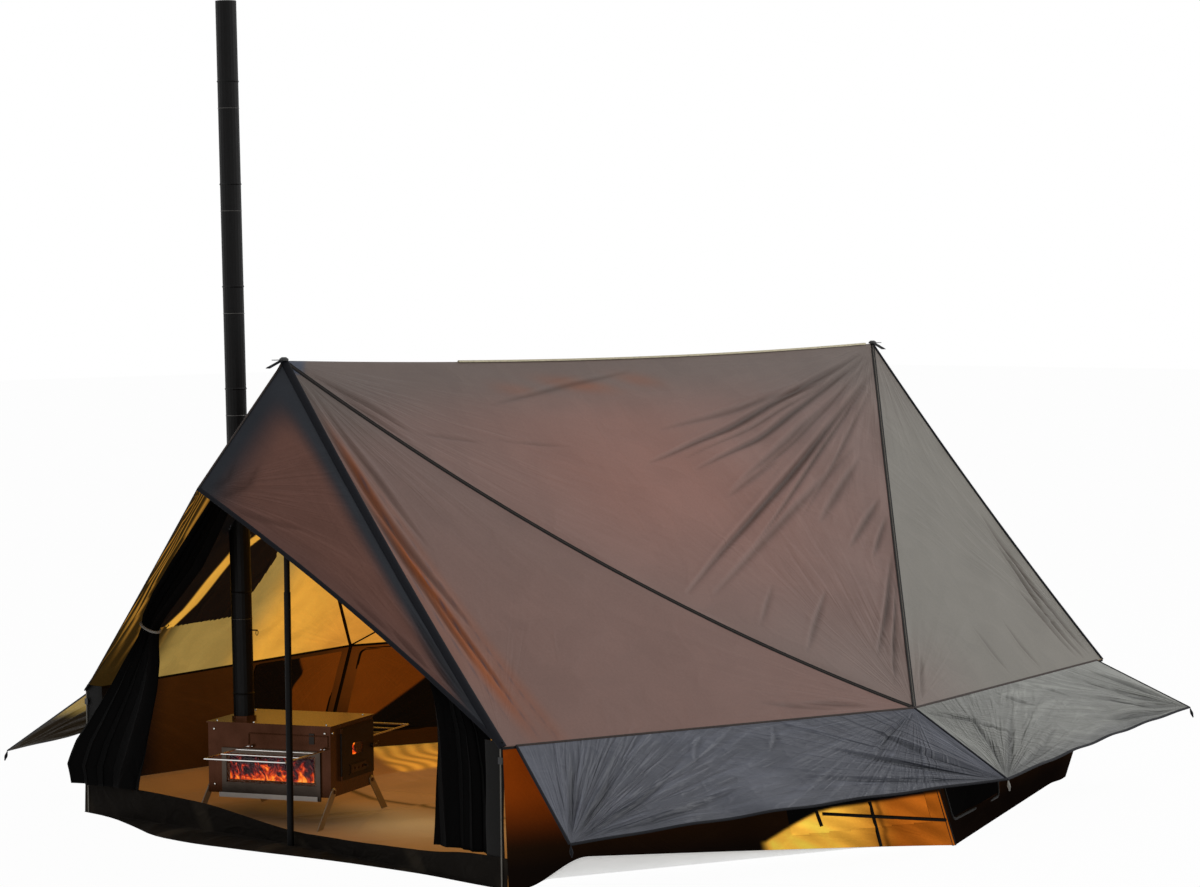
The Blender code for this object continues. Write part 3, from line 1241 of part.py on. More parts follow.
def add_grate(stove):
    low = BODY_BOTTOM + BODY_WALL + GRATE_HEIGHT
    grate = add_box("fire_grate", (-GRATE_LENGTH / 2, -GRATE_DEPTH / 2, low),
                    (GRATE_LENGTH / 2, GRATE_DEPTH / 2, low + GRATE_THICKNESS), "grate_iron", stove)
    feet = []
    foot_x, foot_y = (GRATE_LENGTH - GRATE_SLOT_MARGIN) / 2, (GRATE_DEPTH - GRATE_SLOT_MARGIN) / 2
    for x in (-1, 1):
        for y in (-1, 1):
            place = (x * foot_x, y * foot_y)
            feet.append(tube_mesh("grate_foot", (*place, BODY_BOTTOM + BODY_WALL + GAP),
                                  (*place, low + GRATE_THICKNESS / 2), GRATE_FOOT_RADIUS, 8))
    join_all(grate, feet, stove)
    pitch = (GRATE_LENGTH - 2 * GRATE_SLOT_MARGIN) / GRATE_SLOTS
    for k in range(GRATE_SLOTS):
        x = -GRATE_LENGTH / 2 + GRATE_SLOT_MARGIN + (k + 0.5) * pitch
        reach = GRATE_DEPTH / 2 - GRATE_SLOT_MARGIN
        slot = box_mesh("grate_slot", (x - GRATE_SLOT_WIDTH / 2, -reach, low - OVERRUN),
                        (x + GRATE_SLOT_WIDTH / 2, reach, low + OVERRUN))
        cut(grate, add_cutter(f"grate_cut_{k}", slot, stove))


def add_legs(stove):
    # A flat bar on a bolt, leaning out to the front or the rear, its foot cut level over the groundsheet.
    names = {(-1, -1): "leg_front_left", (-1, 1): "leg_rear_left",
             (1, -1): "leg_front_right", (1, 1): "leg_rear_right"}
    drop = LEG_PIVOT_HEIGHT - SHEET_THICKNESS - GAP
    half = LEG_WIDTH / 2
    for end, side, y in leg_pivots():
        lean = math.radians(LEG_LEANS[side > 0])
        outline = []
        for k in range(9):
            angle = lean * side + math.pi * k / 8
            outline.append((half * math.cos(angle), half * math.sin(angle)))
        run = Vector((math.sin(lean) * side, -math.cos(lean)))
        across = Vector((math.cos(lean) * side, math.sin(lean)))
        for edge in (-1, 1) if side > 0 else (1, -1):
            start = across * half * edge
            reach = (drop + start.y) / -run.y
            point = start + run * reach
            outline.append((point.x, point.y))
        near = BODY_LENGTH / 2 * end + LEG_FIT * end
        far = near + LEG_THICKNESS * end
        shape = [(y + a, LEG_PIVOT_HEIGHT + b) for a, b in outline]
        bar = prism("leg", shape, min(near, far), max(near, far), "X")
        leg = add_object(names[end, side], bar, "leg_steel", stove)
        set_origin(leg, (near, y, LEG_PIVOT_HEIGHT))
        bore = tube_mesh("leg_bore", (near - OVERRUN * end, y, LEG_PIVOT_HEIGHT),
                         (far + OVERRUN * end, y, LEG_PIVOT_HEIGHT), LEG_BOLT_RADIUS + LEG_FIT, 16)
        cut(leg, add_cutter(f"{names[end, side]}_cut", bore, stove))


def rack_axis(side):
    return (BODY_DEPTH / 2 + RACK_HINGE_OFFSET) * side


def guard_and_sockets(side):
    # Eyes that hold the rack's turned-in ends, and the wire guard that rises behind it.
    y = rack_axis(side)
    face = (BODY_DEPTH / 2 - BODY_WALL / 2) * side
    found = []
    eye = RACK_WIRE * 2.2
    for x in (-1, 1):
        middle = RACK_SHIFT + x * (RACK_LENGTH / 2 - 5 * RACK_WIRE)
        low_y, high_y = min(face, y + eye * side), max(face, y + eye * side)
        block = box_mesh("rack_eye", (middle - RACK_WIRE, low_y, RACK_HEIGHT - eye),
                         (middle + RACK_WIRE, high_y, RACK_HEIGHT + eye))
        found.append(block)
    guard_y = (BODY_DEPTH / 2 + GUARD_OFFSET) * side
    left, right = RACK_SHIFT - RACK_LENGTH / 2, RACK_SHIFT + RACK_LENGTH / 2
    low_z = RACK_HEIGHT + 3 * RACK_WIRE
    points = [(left, face, low_z), (left, guard_y, low_z), (left, guard_y, low_z + GUARD_RISE),
              (right, guard_y, low_z + GUARD_RISE), (right, guard_y, low_z), (right, face, low_z)]
    found.append(wire_mesh("rack_guard", points, GUARD_WIRE, 8))
    return found


def add_racks(stove):
    for side, name in ((-1, "rack_front"), (1, "rack_rear")):
        y = rack_axis(side)
        far = y + RACK_REACH * side
        left, right = RACK_SHIFT - RACK_LENGTH / 2, RACK_SHIFT + RACK_LENGTH / 2
        stub = 8 * RACK_WIRE
        points = [(left + stub, y, RACK_HEIGHT), (left, y, RACK_HEIGHT), (left, far, RACK_HEIGHT),
                  (right, far, RACK_HEIGHT), (right, y, RACK_HEIGHT), (right - stub, y, RACK_HEIGHT)]
        rack = add_object(name, wire_mesh("rack", points, RACK_WIRE, 8), "rack_wire", stove)
        set_origin(rack, (RACK_SHIFT, y, RACK_HEIGHT))
        bars = []
        for k in range(1, RACK_BARS):
            bar_y = far - k * RACK_BAR_SPACING * side
            bars.append(tube_mesh("rack_bar", (left, bar_y, RACK_HEIGHT), (right, bar_y, RACK_HEIGHT),
                                  RACK_WIRE * 0.8, 10))
        join_all(rack, bars, stove)


def cut_rack_eyes(stove):
    body = bpy.data.objects["firebox"]
    for side in (-1, 1):
        bore = tube_mesh("eye_bore", (RACK_SHIFT - RACK_LENGTH, rack_axis(side), RACK_HEIGHT),
                         (RACK_SHIFT + RACK_LENGTH, rack_axis(side), RACK_HEIGHT), RACK_WIRE + HINGE_FIT, 12)
        cut(body, add_cutter(f"firebox_eye_{side}", bore, stove))


def along_stove(reach, height=0.0):
    # A point beside the flue's axis, towards the stove's right end.
    turn = math.radians(STOVE_TURN)
    return Vector((math.cos(turn) * reach, math.sin(turn) * reach, height))


def add_flue(flue):
    bore = FLUE_RADIUS - FLUE_WALL
    spigot = bore - FLUE_FIT
    base = COLLAR_BASE + GAP
    for k in range(FLUE_SECTIONS):
        low = base + k * FLUE_PITCH
        top = low + FLUE_PITCH - GAP
        bead = low + FLUE_BEAD_HEIGHT
        profile = [
            (FLUE_RADIUS, low),
            (FLUE_RADIUS, bead - FLUE_BEAD_WIDTH / 2),
            (FLUE_RADIUS + FLUE_BEAD_RISE, bead),
            (FLUE_RADIUS, bead + FLUE_BEAD_WIDTH / 2),
            (FLUE_RADIUS, top),
        ]
        if k < FLUE_SECTIONS - 1:
            profile += [
                (spigot, top),
                (spigot, top + FLUE_SPIGOT),
                (spigot - FLUE_WALL, top + FLUE_SPIGOT),
                (spigot - FLUE_WALL, top - 2 * FLUE_WALL),
                (bore, top - 4 * FLUE_WALL),
            ]
        else:
            profile.append((bore, top))
        profile.append((bore, low))
        item = turned(f"chimney_{k + 1}", profile, FLUE_SIDES, "flue_steel", parent=flue)
        if k == 0:
            reach = FLUE_RADIUS + OVERRUN
            holes = tube_mesh("damper_holes", along_stove(-reach, DAMPER_HEIGHT),
                              along_stove(reach, DAMPER_HEIGHT), DAMPER_SHAFT + FLUE_FIT, 12)
            cut(item, add_cutter("cut_damper", holes, flue))


def add_damper(flue):
    # The disc stands on edge when open, and its shaft runs along the stove.
    across = along_stove(DAMPER_THICKNESS / 2).cross(Vector((0, 0, 1)))
    item = add_object("damper", tube_mesh("disc", -across, across, DAMPER_RADIUS, 24), "flue_steel", flue)
    item.location = (0, 0, DAMPER_HEIGHT)
    end = FLUE_RADIUS + DAMPER_HANDLE_REACH
    shaft = tube_mesh("shaft", along_stove(-FLUE_RADIUS - 4 * FLUE_WALL, DAMPER_HEIGHT),
                      along_stove(end, DAMPER_HEIGHT), DAMPER_SHAFT, 12)
    side = across.normalized()
    ring = []
    for k in range(16):
        angle = 2 * math.pi * k / 16
        centre = along_stove(end - DAMPER_SHAFT, DAMPER_HEIGHT - RING_RADIUS)
        rise = Vector((0, 0, RING_RADIUS * math.sin(angle)))
        ring.append(centre + side * RING_RADIUS * math.cos(angle) + rise)
    join_all(item, [shaft, wire_mesh("damper_ring", ring, RING_WIRE, 8, closed=True)], flue)


def main():
    clear_scene()
    add_roof()
    add_hoods()
    add_skirts()
    add_walls()
    add_sill()
    add_groundsheet()
    add_rear_door()
    add_curtain("curtain_left", LEFT_CURTAIN_SHARES, -1)
    add_curtain("curtain_right", RIGHT_CURTAIN_SHARES, 1)
    flue = add_flue_frame()
    add_jack(flue)
    add_poles()
    add_caps()
    add_corner_straps()
    stove = add_stove_frame()
    add_firebox(stove, flue)
    cut_rack_eyes(stove)
    add_front_glass(stove)
    add_door(stove)
    add_air_slide(stove)
    add_door_handle(stove)
    add_grate(stove)
    add_legs(stove)
    add_racks(stove)
    add_flue(flue)
    add_damper(flue)


main()
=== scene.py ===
import math
import bpy
import numpy as np
from mathutils import Matrix, Vector


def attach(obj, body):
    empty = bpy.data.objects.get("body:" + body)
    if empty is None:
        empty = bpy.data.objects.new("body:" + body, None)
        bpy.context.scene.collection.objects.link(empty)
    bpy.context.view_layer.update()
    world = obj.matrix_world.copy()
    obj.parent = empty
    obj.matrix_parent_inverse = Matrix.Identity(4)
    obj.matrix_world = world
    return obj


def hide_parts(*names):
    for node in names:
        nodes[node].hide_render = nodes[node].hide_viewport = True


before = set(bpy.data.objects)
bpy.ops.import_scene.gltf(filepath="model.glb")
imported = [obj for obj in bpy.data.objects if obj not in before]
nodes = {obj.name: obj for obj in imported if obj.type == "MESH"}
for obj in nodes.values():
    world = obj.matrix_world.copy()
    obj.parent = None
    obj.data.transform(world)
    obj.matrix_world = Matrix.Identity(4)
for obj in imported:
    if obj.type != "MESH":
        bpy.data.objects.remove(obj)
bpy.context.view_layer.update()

down = np.array([0.0, 0.0, -1.0])
print("frame loaded")

# Camera, where the photograph was taken from: turn, tilt and roll in radians
cameraView = {"lens": 96.18, "place": (10.2127, -10.1607, 2.2891), "turn": 0.7897, "tilt": -0.0488,
              "roll": -0.0093}


def makeCamera(view):
    # The view's right and up directions are rolled about its own forward direction.
    turn, tilt, roll = view["turn"], view["tilt"], view["roll"]
    forward = Vector((-math.sin(turn) * math.cos(tilt), math.cos(turn) * math.cos(tilt), math.sin(tilt)))
    level = Vector((math.cos(turn), math.sin(turn), 0))
    upright = level.cross(forward)
    right = level * math.cos(roll) + upright * math.sin(roll)
    up = upright * math.cos(roll) - level * math.sin(roll)
    camera = bpy.data.objects.new("camera", bpy.data.cameras.new("camera"))
    camera.data.lens = view["lens"]
    camera.data.clip_end = 200
    turned = Matrix((right, up, -forward)).transposed().to_4x4()
    camera.matrix_world = Matrix.Translation(view["place"]) @ turned
    bpy.context.collection.objects.link(camera)
    bpy.context.scene.camera = camera


makeCamera(cameraView)
print("camera set")


# Colours and node groups


def paint(red, green, blue):
    # A colour as read on screen, 0 to 255, made linear.
    share = np.array([red, green, blue]) / 255
    return np.where(share <= 0.04045, share / 12.92, ((share + 0.055) / 1.055) ** 2.4)


def newGroup(name, inputs, outputs):
    group = bpy.data.node_groups.new(name, "ShaderNodeTree")
    kinds = {"value": "NodeSocketFloat", "colour": "NodeSocketColor", "vector": "NodeSocketVector"}
    for label, kind, value in inputs:
        socket = group.interface.new_socket(label, in_out="INPUT", socket_type=kinds[kind])
        if value is not None:
            socket.default_value = value
    for label, kind in outputs:
        group.interface.new_socket(label, in_out="OUTPUT", socket_type=kinds[kind])
    return group, group.nodes.new("NodeGroupInput"), group.nodes.new("NodeGroupOutput")


def place(tree, kind, links=None, **settings):
    # One node with its settings and with what feeds each of its inputs, a socket or a plain value.
    node = tree.nodes.new("ShaderNode" + kind)
    for label, value in settings.items():
        setattr(node, label, value)
    for label, value in (links or {}).items():
        socket = node.inputs[label]
        if isinstance(value, bpy.types.NodeSocket):
            tree.links.new(value, socket)
        else:
            socket.default_value = value
    return node


def makeWeaveGroup():
    # Threads over and under: the product of two bands at right angles, with slubs from a stretched noise.
    group, given, put = newGroup(
        "weave", [("Vector", "vector", None), ("Threads", "value", 700.0)],
        [("Height", "value"), ("Shade", "value")])
    stretch = place(group, "VectorMath", {0: given.outputs["Vector"], "Scale": given.outputs["Threads"]},
                    operation="SCALE")
    parts = place(group, "SeparateXYZ", {0: stretch.outputs[0]})
    bands = [place(group, "Math", {0: parts.outputs[k]}, operation="SINE") for k in (0, 1)]
    crossed = place(group, "Math", {0: bands[0].outputs[0], 1: bands[1].outputs[0]}, operation="MULTIPLY")
    slubs = place(group, "TexNoise", {"Vector": given.outputs["Vector"], "Scale": 90.0, "Detail": 4.0,
                                      "Roughness": 0.6})
    height = place(group, "Math", {0: crossed.outputs[0], 1: 0.5, 2: slubs.outputs[0]},
                   operation="MULTIPLY_ADD")
    group.links.new(height.outputs[0], put.inputs["Height"])
    group.links.new(slubs.outputs[0], put.inputs["Shade"])
    return group


def makeCreaseGroup():
    # Soft crumples: a warped noise's distance from its middle gives narrow ridges between smooth hollows.
    group, given, put = newGroup(
        "creases", [("Vector", "vector", None), ("Size", "value", 4.0)],
        [("Height", "value"), ("Mask", "value")])
    broad = place(group, "TexNoise", {"Vector": given.outputs["Vector"], "Scale": given.outputs["Size"],
                                      "Detail": 2.0, "Distortion": 0.6})
    fromMiddle = place(group, "Math", {0: broad.outputs[0], 1: 0.5}, operation="SUBTRACT")
    ridge = place(group, "Math", {0: fromMiddle.outputs[0]}, operation="ABSOLUTE")
    narrow = place(group, "MapRange", {0: ridge.outputs[0], 1: 0.0, 2: 0.12, 3: 1.0, 4: 0.0},
                   interpolation_type="SMOOTHSTEP")
    group.links.new(narrow.outputs[0], put.inputs["Height"])
    group.links.new(broad.outputs[0], put.inputs["Mask"])
    return group


def makeGrainGroup():
    # Fine scratches along one direction: noise stretched twenty times that way.
    group, given, put = newGroup(
        "grain", [("Vector", "vector", None), ("Stretch", "vector", (4.0, 4.0, 90.0)),
                  ("Fineness", "value", 9.0)],
        [("Height", "value"), ("Mask", "value")])
    scaled = place(group, "VectorMath", {0: given.outputs["Vector"], 1: given.outputs["Stretch"]},
                   operation="MULTIPLY")
    lines = place(group, "TexNoise", {"Vector": scaled.outputs[0], "Scale": given.outputs["Fineness"],
                                      "Detail": 6.0, "Roughness": 0.7})
    clouds = place(group, "TexNoise", {"Vector": given.outputs["Vector"], "Scale": given.outputs["Fineness"],
                                       "Detail": 5.0, "Roughness": 0.6})
    group.links.new(lines.outputs[0], put.inputs["Height"])
    group.links.new(clouds.outputs[0], put.inputs["Mask"])
    return group


def makeFanGroup():
    # Fine folds fanning out of a corner: noise over the angle round it (x), drawn out along the distance (y),
    # times a share (z) that fades them out.
    group, given, put = newGroup("fan", [("Vector", "vector", None), ("Fineness", "value", 13.0)],
                                 [("Height", "value")])
    parts = place(group, "SeparateXYZ", {0: given.outputs["Vector"]})
    turned = place(group, "Math", {0: parts.outputs[0], 1: given.outputs["Fineness"]}, operation="MULTIPLY")
    run = place(group, "Math", {0: parts.outputs[1], 1: 1.6}, operation="MULTIPLY")
    spot = place(group, "CombineXYZ", {0: turned.outputs[0], 1: run.outputs[0]})
    noise = place(group, "TexNoise", {"Vector": spot.outputs[0], "Scale": 1.0, "Detail": 3.0,
                                      "Distortion": 0.3})
    fromMiddle = place(group, "Math", {0: noise.outputs[0], 1: 0.5}, operation="SUBTRACT")
    ridge = place(group, "Math", {0: fromMiddle.outputs[0]}, operation="ABSOLUTE")
    narrow = place(group, "MapRange", {0: ridge.outputs[0], 1: 0.0, 2: 0.2, 3: 1.0, 4: 0.0},
                   interpolation_type="SMOOTHSTEP")
    height = place(group, "Math", {0: narrow.outputs[0], 1: parts.outputs[2]}, operation="MULTIPLY")
    group.links.new(height.outputs[0], put.inputs["Height"])
    return group


weaveGroup = makeWeaveGroup()
creaseGroup = makeCreaseGroup()
grainGroup = makeGrainGroup()
fanGroup = makeFanGroup()


def useGroup(tree, group, **values):
    node = tree.nodes.new("ShaderNodeGroup")
    node.node_tree = group
    for label, value in values.items():
        if isinstance(value, bpy.types.NodeSocket):
            tree.links.new(value, node.inputs[label])
        else:
            node.inputs[label].default_value = value
    return node


def newMaterial(name):
    material = bpy.data.materials.new(name)
    material.use_nodes = True
    return material, material.node_tree, material.node_tree.nodes["Principled BSDF"]


def setPlain(shader, **values):
    for label, value in values.items():
        shader.inputs[label.replace("_", " ")].default_value = value


def clothMaterial(name, roughness=0.62, sheen=0.1, threads=2600.0, size=3.0, crumple=0.35, weave=0.12,
                  tint="tint", glow=0.0, variation=0.12, coat=0.0, folds=0.5, foldShade=0.15, shine=0.5):
    # Colour comes from the piece's own tint attribute, broken up by slow mottling and weave, and darkened
    # along the fanning folds as painted shade.
    material, tree, shader = newMaterial(name)
    metres = place(tree, "UVMap", uv_map="cloth").outputs[0]
    shade = place(tree, "Attribute", attribute_name=tint).outputs["Color"]
    threadsNode = useGroup(tree, weaveGroup, Vector=metres, Threads=threads)
    creases = useGroup(tree, creaseGroup, Vector=metres, Size=size)
    fans = None
    for k in range(3):
        spot = place(tree, "Attribute", attribute_name=f"fan{k}").outputs["Vector"]
        fan = useGroup(tree, fanGroup, Vector=spot).outputs["Height"]
        fans = place(tree, "Math", {0: fans, 1: fan}, operation="ADD").outputs[0] if fans else fan
    mottle = place(tree, "MapRange", {0: creases.outputs["Mask"], 1: 0.3, 2: 0.7, 3: 1 - variation,
                                      4: 1 + variation})
    slub = place(tree, "MapRange", {0: threadsNode.outputs["Shade"], 1: 0.3, 2: 0.7, 3: 0.95, 4: 1.05})
    # Painted shade: the colour darkens in the fanning folds, by up to foldShade.
    dark = place(tree, "MapRange", {0: fans, 1: 0.0, 2: 1.0, 3: 1.0, 4: 1 - foldShade})
    both = place(tree, "Math", {0: mottle.outputs[0], 1: slub.outputs[0]}, operation="MULTIPLY")
    both = place(tree, "Math", {0: both.outputs[0], 1: dark.outputs[0]}, operation="MULTIPLY")
    colour = place(tree, "VectorMath", {0: shade, "Scale": both.outputs[0]}, operation="SCALE")
    tree.links.new(colour.outputs[0], shader.inputs["Base Color"])
    broad = place(tree, "Bump", {"Height": creases.outputs["Height"], "Strength": crumple, "Distance": 0.005})
    folded = place(tree, "Bump", {"Height": fans, "Strength": folds, "Distance": 0.012,
                                  "Normal": broad.outputs[0]}, invert=True)
    fine = place(tree, "Bump", {"Height": threadsNode.outputs["Height"], "Strength": weave,
                                "Distance": 0.0006, "Normal": folded.outputs[0]})
    tree.links.new(fine.outputs[0], shader.inputs["Normal"])
    setPlain(shader, Roughness=roughness, Sheen_Weight=sheen, Sheen_Roughness=0.5, Coat_Weight=coat,
             Coat_Roughness=0.4, Specular_IOR_Level=shine)
    # Glow gives the colour out as emission: painted lamp light, though the cloth is no lamp.
    if glow:
        tree.links.new(colour.outputs[0], shader.inputs["Emission Color"])
        shader.inputs["Emission Strength"].default_value = glow
    return material


def solidMaterial(name, colour, roughness=0.5, metallic=0.0, stretch=(4.0, 4.0, 60.0), variation=0.2,
                  **plain):
    # A rigid finish: one colour broken up by clouds, with fine grain in its bump and in its roughness.
    material, tree, shader = newMaterial(name)
    spot = place(tree, "TexCoord").outputs["Object"]
    grain = useGroup(tree, grainGroup, Vector=spot, Stretch=stretch, Fineness=6.0)
    mottle = place(tree, "MapRange", {0: grain.outputs["Mask"], 1: 0.3, 2: 0.7, 3: 1 - variation,
                                      4: 1 + variation})
    shade = place(tree, "VectorMath", {0: tuple(colour), "Scale": mottle.outputs[0]}, operation="SCALE")
    tree.links.new(shade.outputs[0], shader.inputs["Base Color"])
    rough = place(tree, "MapRange", {0: grain.outputs["Height"], 1: 0.3, 2: 0.7, 3: roughness * 0.8,
                                     4: roughness * 1.25})
    tree.links.new(rough.outputs[0], shader.inputs["Roughness"])
    relief = place(tree, "Bump", {"Height": grain.outputs["Height"], "Strength": 0.1, "Distance": 0.0005})
    tree.links.new(relief.outputs[0], shader.inputs["Normal"])
    shader.inputs["Metallic"].default_value = metallic
    setPlain(shader, **plain)
    return material


# Surfaces


def unit(vector):
    return vector / np.linalg.norm(vector)


def smooth(low, high, value):
    share = np.clip((value - low) / (high - low), 0, 1)
    return share * share * (3 - 2 * share)


def mixTint(first, second, share):
    return first + (second - first) * np.asarray(share)[:, None]


def spread(colour, points):
    return np.broadcast_to(colour, points.shape)


def addPiece(name, points, faces, materials, body="tent", replaced=(), uv=None, tints=None,
             thickness=0.0, angle=None, fans=()):
    # A mesh with its colours, fan fields and wall thickness, which rides on a body.
    mesh = bpy.data.meshes.new(name)
    mesh.from_pydata(points, [], faces)
    if uv is not None:
        layer = mesh.uv_layers.new(name="cloth")
        corner = np.zeros(len(mesh.loops), int)
        mesh.loops.foreach_get("vertex_index", corner)
        layer.data.foreach_set("uv", uv[corner].astype(np.float32).ravel())
    for label, colours in (tints or {}).items():
        attribute = mesh.attributes.new(label, "FLOAT_COLOR", "POINT")
        full = np.hstack([np.clip(colours, 0, 1), np.ones((len(points), 1))])
        attribute.data.foreach_set("color", full.astype(np.float32).ravel())
    for k, fan in enumerate(fans):
        attribute = mesh.attributes.new(f"fan{k}", "FLOAT_VECTOR", "POINT")
        attribute.data.foreach_set("vector", np.asarray(fan, np.float32).ravel())
    mesh.shade_smooth()
    if angle:
        mesh.set_sharp_from_angle(angle=math.radians(angle))
    item = bpy.data.objects.new(name, mesh)
    bpy.context.collection.objects.link(item)
    for material in materials:
        mesh.materials.append(material)
    if thickness:
        wall = item.modifiers.new("thickness", "SOLIDIFY")
        wall.thickness, wall.offset = thickness, -1
        wall.material_offset = wall.material_offset_rim = 1 if len(materials) > 1 else 0
    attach(item, body)
    if replaced:
        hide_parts(*replaced)
    return item


def rowStart(row):
    return row * (row + 1) // 2


def triangleGrid(rows):
    # Shares of the three corners at every crossing of a triangle cut into rows, and the small triangles
    # between them.
    i, j = np.tril_indices(rows + 1)
    shares = np.stack([1 - i / rows, (i - j) / rows, j / rows], axis=1)
    above = i < rows
    a, b = i[above], j[above]
    upward = np.stack([rowStart(a) + b, rowStart(a + 1) + b, rowStart(a + 1) + b + 1], axis=1)
    inside = b < a
    a, b = a[inside], b[inside]
    downward = np.stack([rowStart(a) + b, rowStart(a + 1) + b + 1, rowStart(a) + b + 1], axis=1)
    return shares, np.vstack([upward, downward])


def quadGrid(columns, rows):
    # Two shares, across and down, at every crossing of a grid, and the four-cornered faces between them.
    u, v = np.meshgrid(np.linspace(0, 1, columns + 1), np.linspace(0, 1, rows + 1), indexing="ij")
    i, j = np.meshgrid(np.arange(columns), np.arange(rows), indexing="ij")
    a = (i * (rows + 1) + j).ravel()
    faces = np.stack([a, a + 1, a + rows + 2, a + rows + 1], axis=1)
    return u.ravel(), v.ravel(), faces


def facing(points, faces, outward):
    # Turns every face round if the sheet as a whole faces away from outward.
    a, b, c = (points[faces[:, k]] for k in range(3))
    total = np.cross(b - a, c - a).sum(axis=0)
    return faces if total @ outward > 0 else faces[:, ::-1]


def areaOf(points, faces):
    # Half the length of each triangle's cross product, with a second triangle for four-cornered faces.
    a, b, c = (points[faces[:, k]] for k in range(3))
    area = np.linalg.norm(np.cross(b - a, c - a), axis=1).sum() / 2
    if faces.shape[1] == 4:
        d = points[faces[:, 3]]
        area += np.linalg.norm(np.cross(c - a, d - a), axis=1).sum() / 2
    return float(area)


def roundCorner(points, normal, start, towards):
    # Distance from a corner, and the angle round it away from the direction of another place.
    along = unit((towards - start) - normal * ((towards - start) @ normal))
    offset = points - start
    a, b = offset @ along, offset @ np.cross(normal, along)
    return np.hypot(a, b) + 1e-9, np.arctan2(b, a)


def fanFolds(points, normal, fold):
    # Folds fanning out of a corner: sharp-topped waves across the angle round it, nothing at the corner
    # itself, fullest at the distance reach, and fading to both sides of the fold's direction.
    far, angle = roundCorner(points, normal, fold["start"], fold["towards"])
    seeded = np.random.default_rng(fold["seed"])
    wave = np.zeros(len(points))
    for share in (1.0, 0.6, 0.4):
        count = fold["folds"] * seeded.uniform(0.55, 1.5)
        phase, bend = seeded.uniform(0, 6.28), seeded.normal(0, 0.5)
        ridge = 1 - np.abs(np.sin(count * angle / 2 + phase + bend * far))
        wave += share * (ridge ** 1.6 - 0.35) * (0.6 + 0.4 * np.sin(3 * far + 2 * phase + 7 * angle))
    window = np.clip(1 - (angle / fold["spread"]) ** 2, 0, 1) ** 1.2
    envelope = (far / fold["reach"]) * np.exp(1 - far / fold["reach"])
    return fold["depth"] * wave * window * envelope


def fanField(points, normal, fan):
    # Angle round a corner, distance from it and a share that is full at the reach and fades sideways.
    far, angle = roundCorner(points, normal, fan["start"], fan["towards"])
    window = np.clip(1 - (angle / fan["spread"]) ** 2, 0, 1)
    envelope = (far / fan["reach"]) * np.exp(1 - far / fan["reach"])
    return np.stack([angle + fan["seed"], far, fan["share"] * window * envelope ** 0.8], axis=1)


def curveThrough(stops):
    # A smooth line through a few stops, straight runs eased by averaging over a short window.
    stops = np.asarray(stops, float)
    at = np.linspace(0, len(stops) - 1, 30)
    line = np.stack([np.interp(at, np.arange(len(stops)), stops[:, k]) for k in range(stops.shape[1])],
                    axis=1)
    for _ in range(3):
        line[1:-1] = (line[:-2] + line[1:-1] * 2 + line[2:]) / 4
    return line


def creaseField(points, normal, line, width, depth):
    # One long crease along a line: a hollow with a softer ridge on its upper side, tapering to both ends.
    raised, hollow = np.zeros(len(points)), np.zeros(len(points))
    near = np.where(((points > line.min(axis=0) - 4 * width)
                     & (points < line.max(axis=0) + 4 * width)).all(axis=1))[0]
    tangent = np.gradient(line, axis=0)
    step = np.linalg.norm(tangent, axis=1)[:, None]
    tangent = tangent / step
    run = np.concatenate([[0], np.cumsum(np.linalg.norm(np.diff(line, axis=0), axis=1))])
    side = np.cross(normal, tangent)
    side *= np.where(side[:, 2:] < 0, -1, 1)
    gap = points[near][:, None, :] - line[None]
    nearest = np.einsum("ijk,ijk->ij", gap, gap).argmin(axis=1)
    offset = gap[np.arange(len(near)), nearest]
    at = run[nearest] + np.einsum("ij,ij->i", offset, tangent[nearest])
    signed = np.einsum("ij,ij->i", offset, side[nearest])
    over = np.maximum(0, np.maximum(-at, at - run[-1]))
    share = np.clip(at / run[-1], 0, 1)
    taper = np.sin(np.pi * (0.02 + 0.96 * share)) ** 0.6 * np.exp(-(over / width) ** 2)
    wide = width * (0.45 + 0.55 * np.sin(np.pi * share))
    hollow[near] = np.exp(-(signed / wide) ** 2) * taper
    raised[near] = depth * (0.45 * np.exp(-((signed - 1.7 * wide) / wide) ** 2) * taper - hollow[near])
    return raised, hollow


def slackness(points, normal, depth, size, seed):
    # Slow unevenness of a hanging sheet: a few long waves in chance directions.
    seeded = np.random.default_rng(seed)
    total = np.zeros(len(points))
    for _ in range(6):
        direction = seeded.normal(size=3)
        direction = unit(direction - normal * (direction @ normal))
        total += np.sin(points @ direction * 6.28 / (size * seeded.uniform(0.5, 1.6))
                        + seeded.uniform(0, 6.28))
    return depth * total / 3


# The tent's driving sizes in metres: ends, middle corners, sags of its edges and its lower edge
tent = {"halfLength": 1.90, "endHalfWidth": 1.34, "middleHalfWidth": 1.79, "eave": 0.545, "apex": 2.00,
        "apexInset": 0.05, "hoodReach": 0.40, "hoodTip": 1.50, "ridgeSag": 0.035, "diagonalSag": 0.025,
        "endSeamSag": 0.022, "hoodEdgeSag": 0.030, "frontFoot": (0.025, 0.0), "rearFoot": (-0.110, -0.135),
        "middleFootFlare": 0.21, "hemLift": (0.118, 0.015), "hemStart": (0.03, 0.17), "hemFall": 0.9,
        "wallDrop": 0.0028, "slackSag": 0.115}


def cornerPoints(side, end):
    # side is +1 on the right and -1 on the left, end is -1 at the front and +1 at the rear.
    foot = tent["rearFoot"] if end > 0 else tent["frontFoot"]
    width, length, middle = tent["endHalfWidth"], tent["halfLength"], tent["middleHalfWidth"]
    places = {
        "apex": (0, length - tent["apexInset"], tent["apex"]),
        "otherApex": (0, tent["apexInset"] - length, tent["apex"]),
        "eave": (width, length, tent["eave"]),
        "middle": (middle, 0, tent["eave"]),
        "tip": (0, length + tent["hoodReach"], tent["hoodTip"]),
        "foot": (width + foot[0], length + foot[1], 0),
        "middleFoot": (middle + tent["middleFootFlare"], 0, 0),
    }
    return {label: np.array([x * side, y * end, z]) for label, (x, y, z) in places.items()}


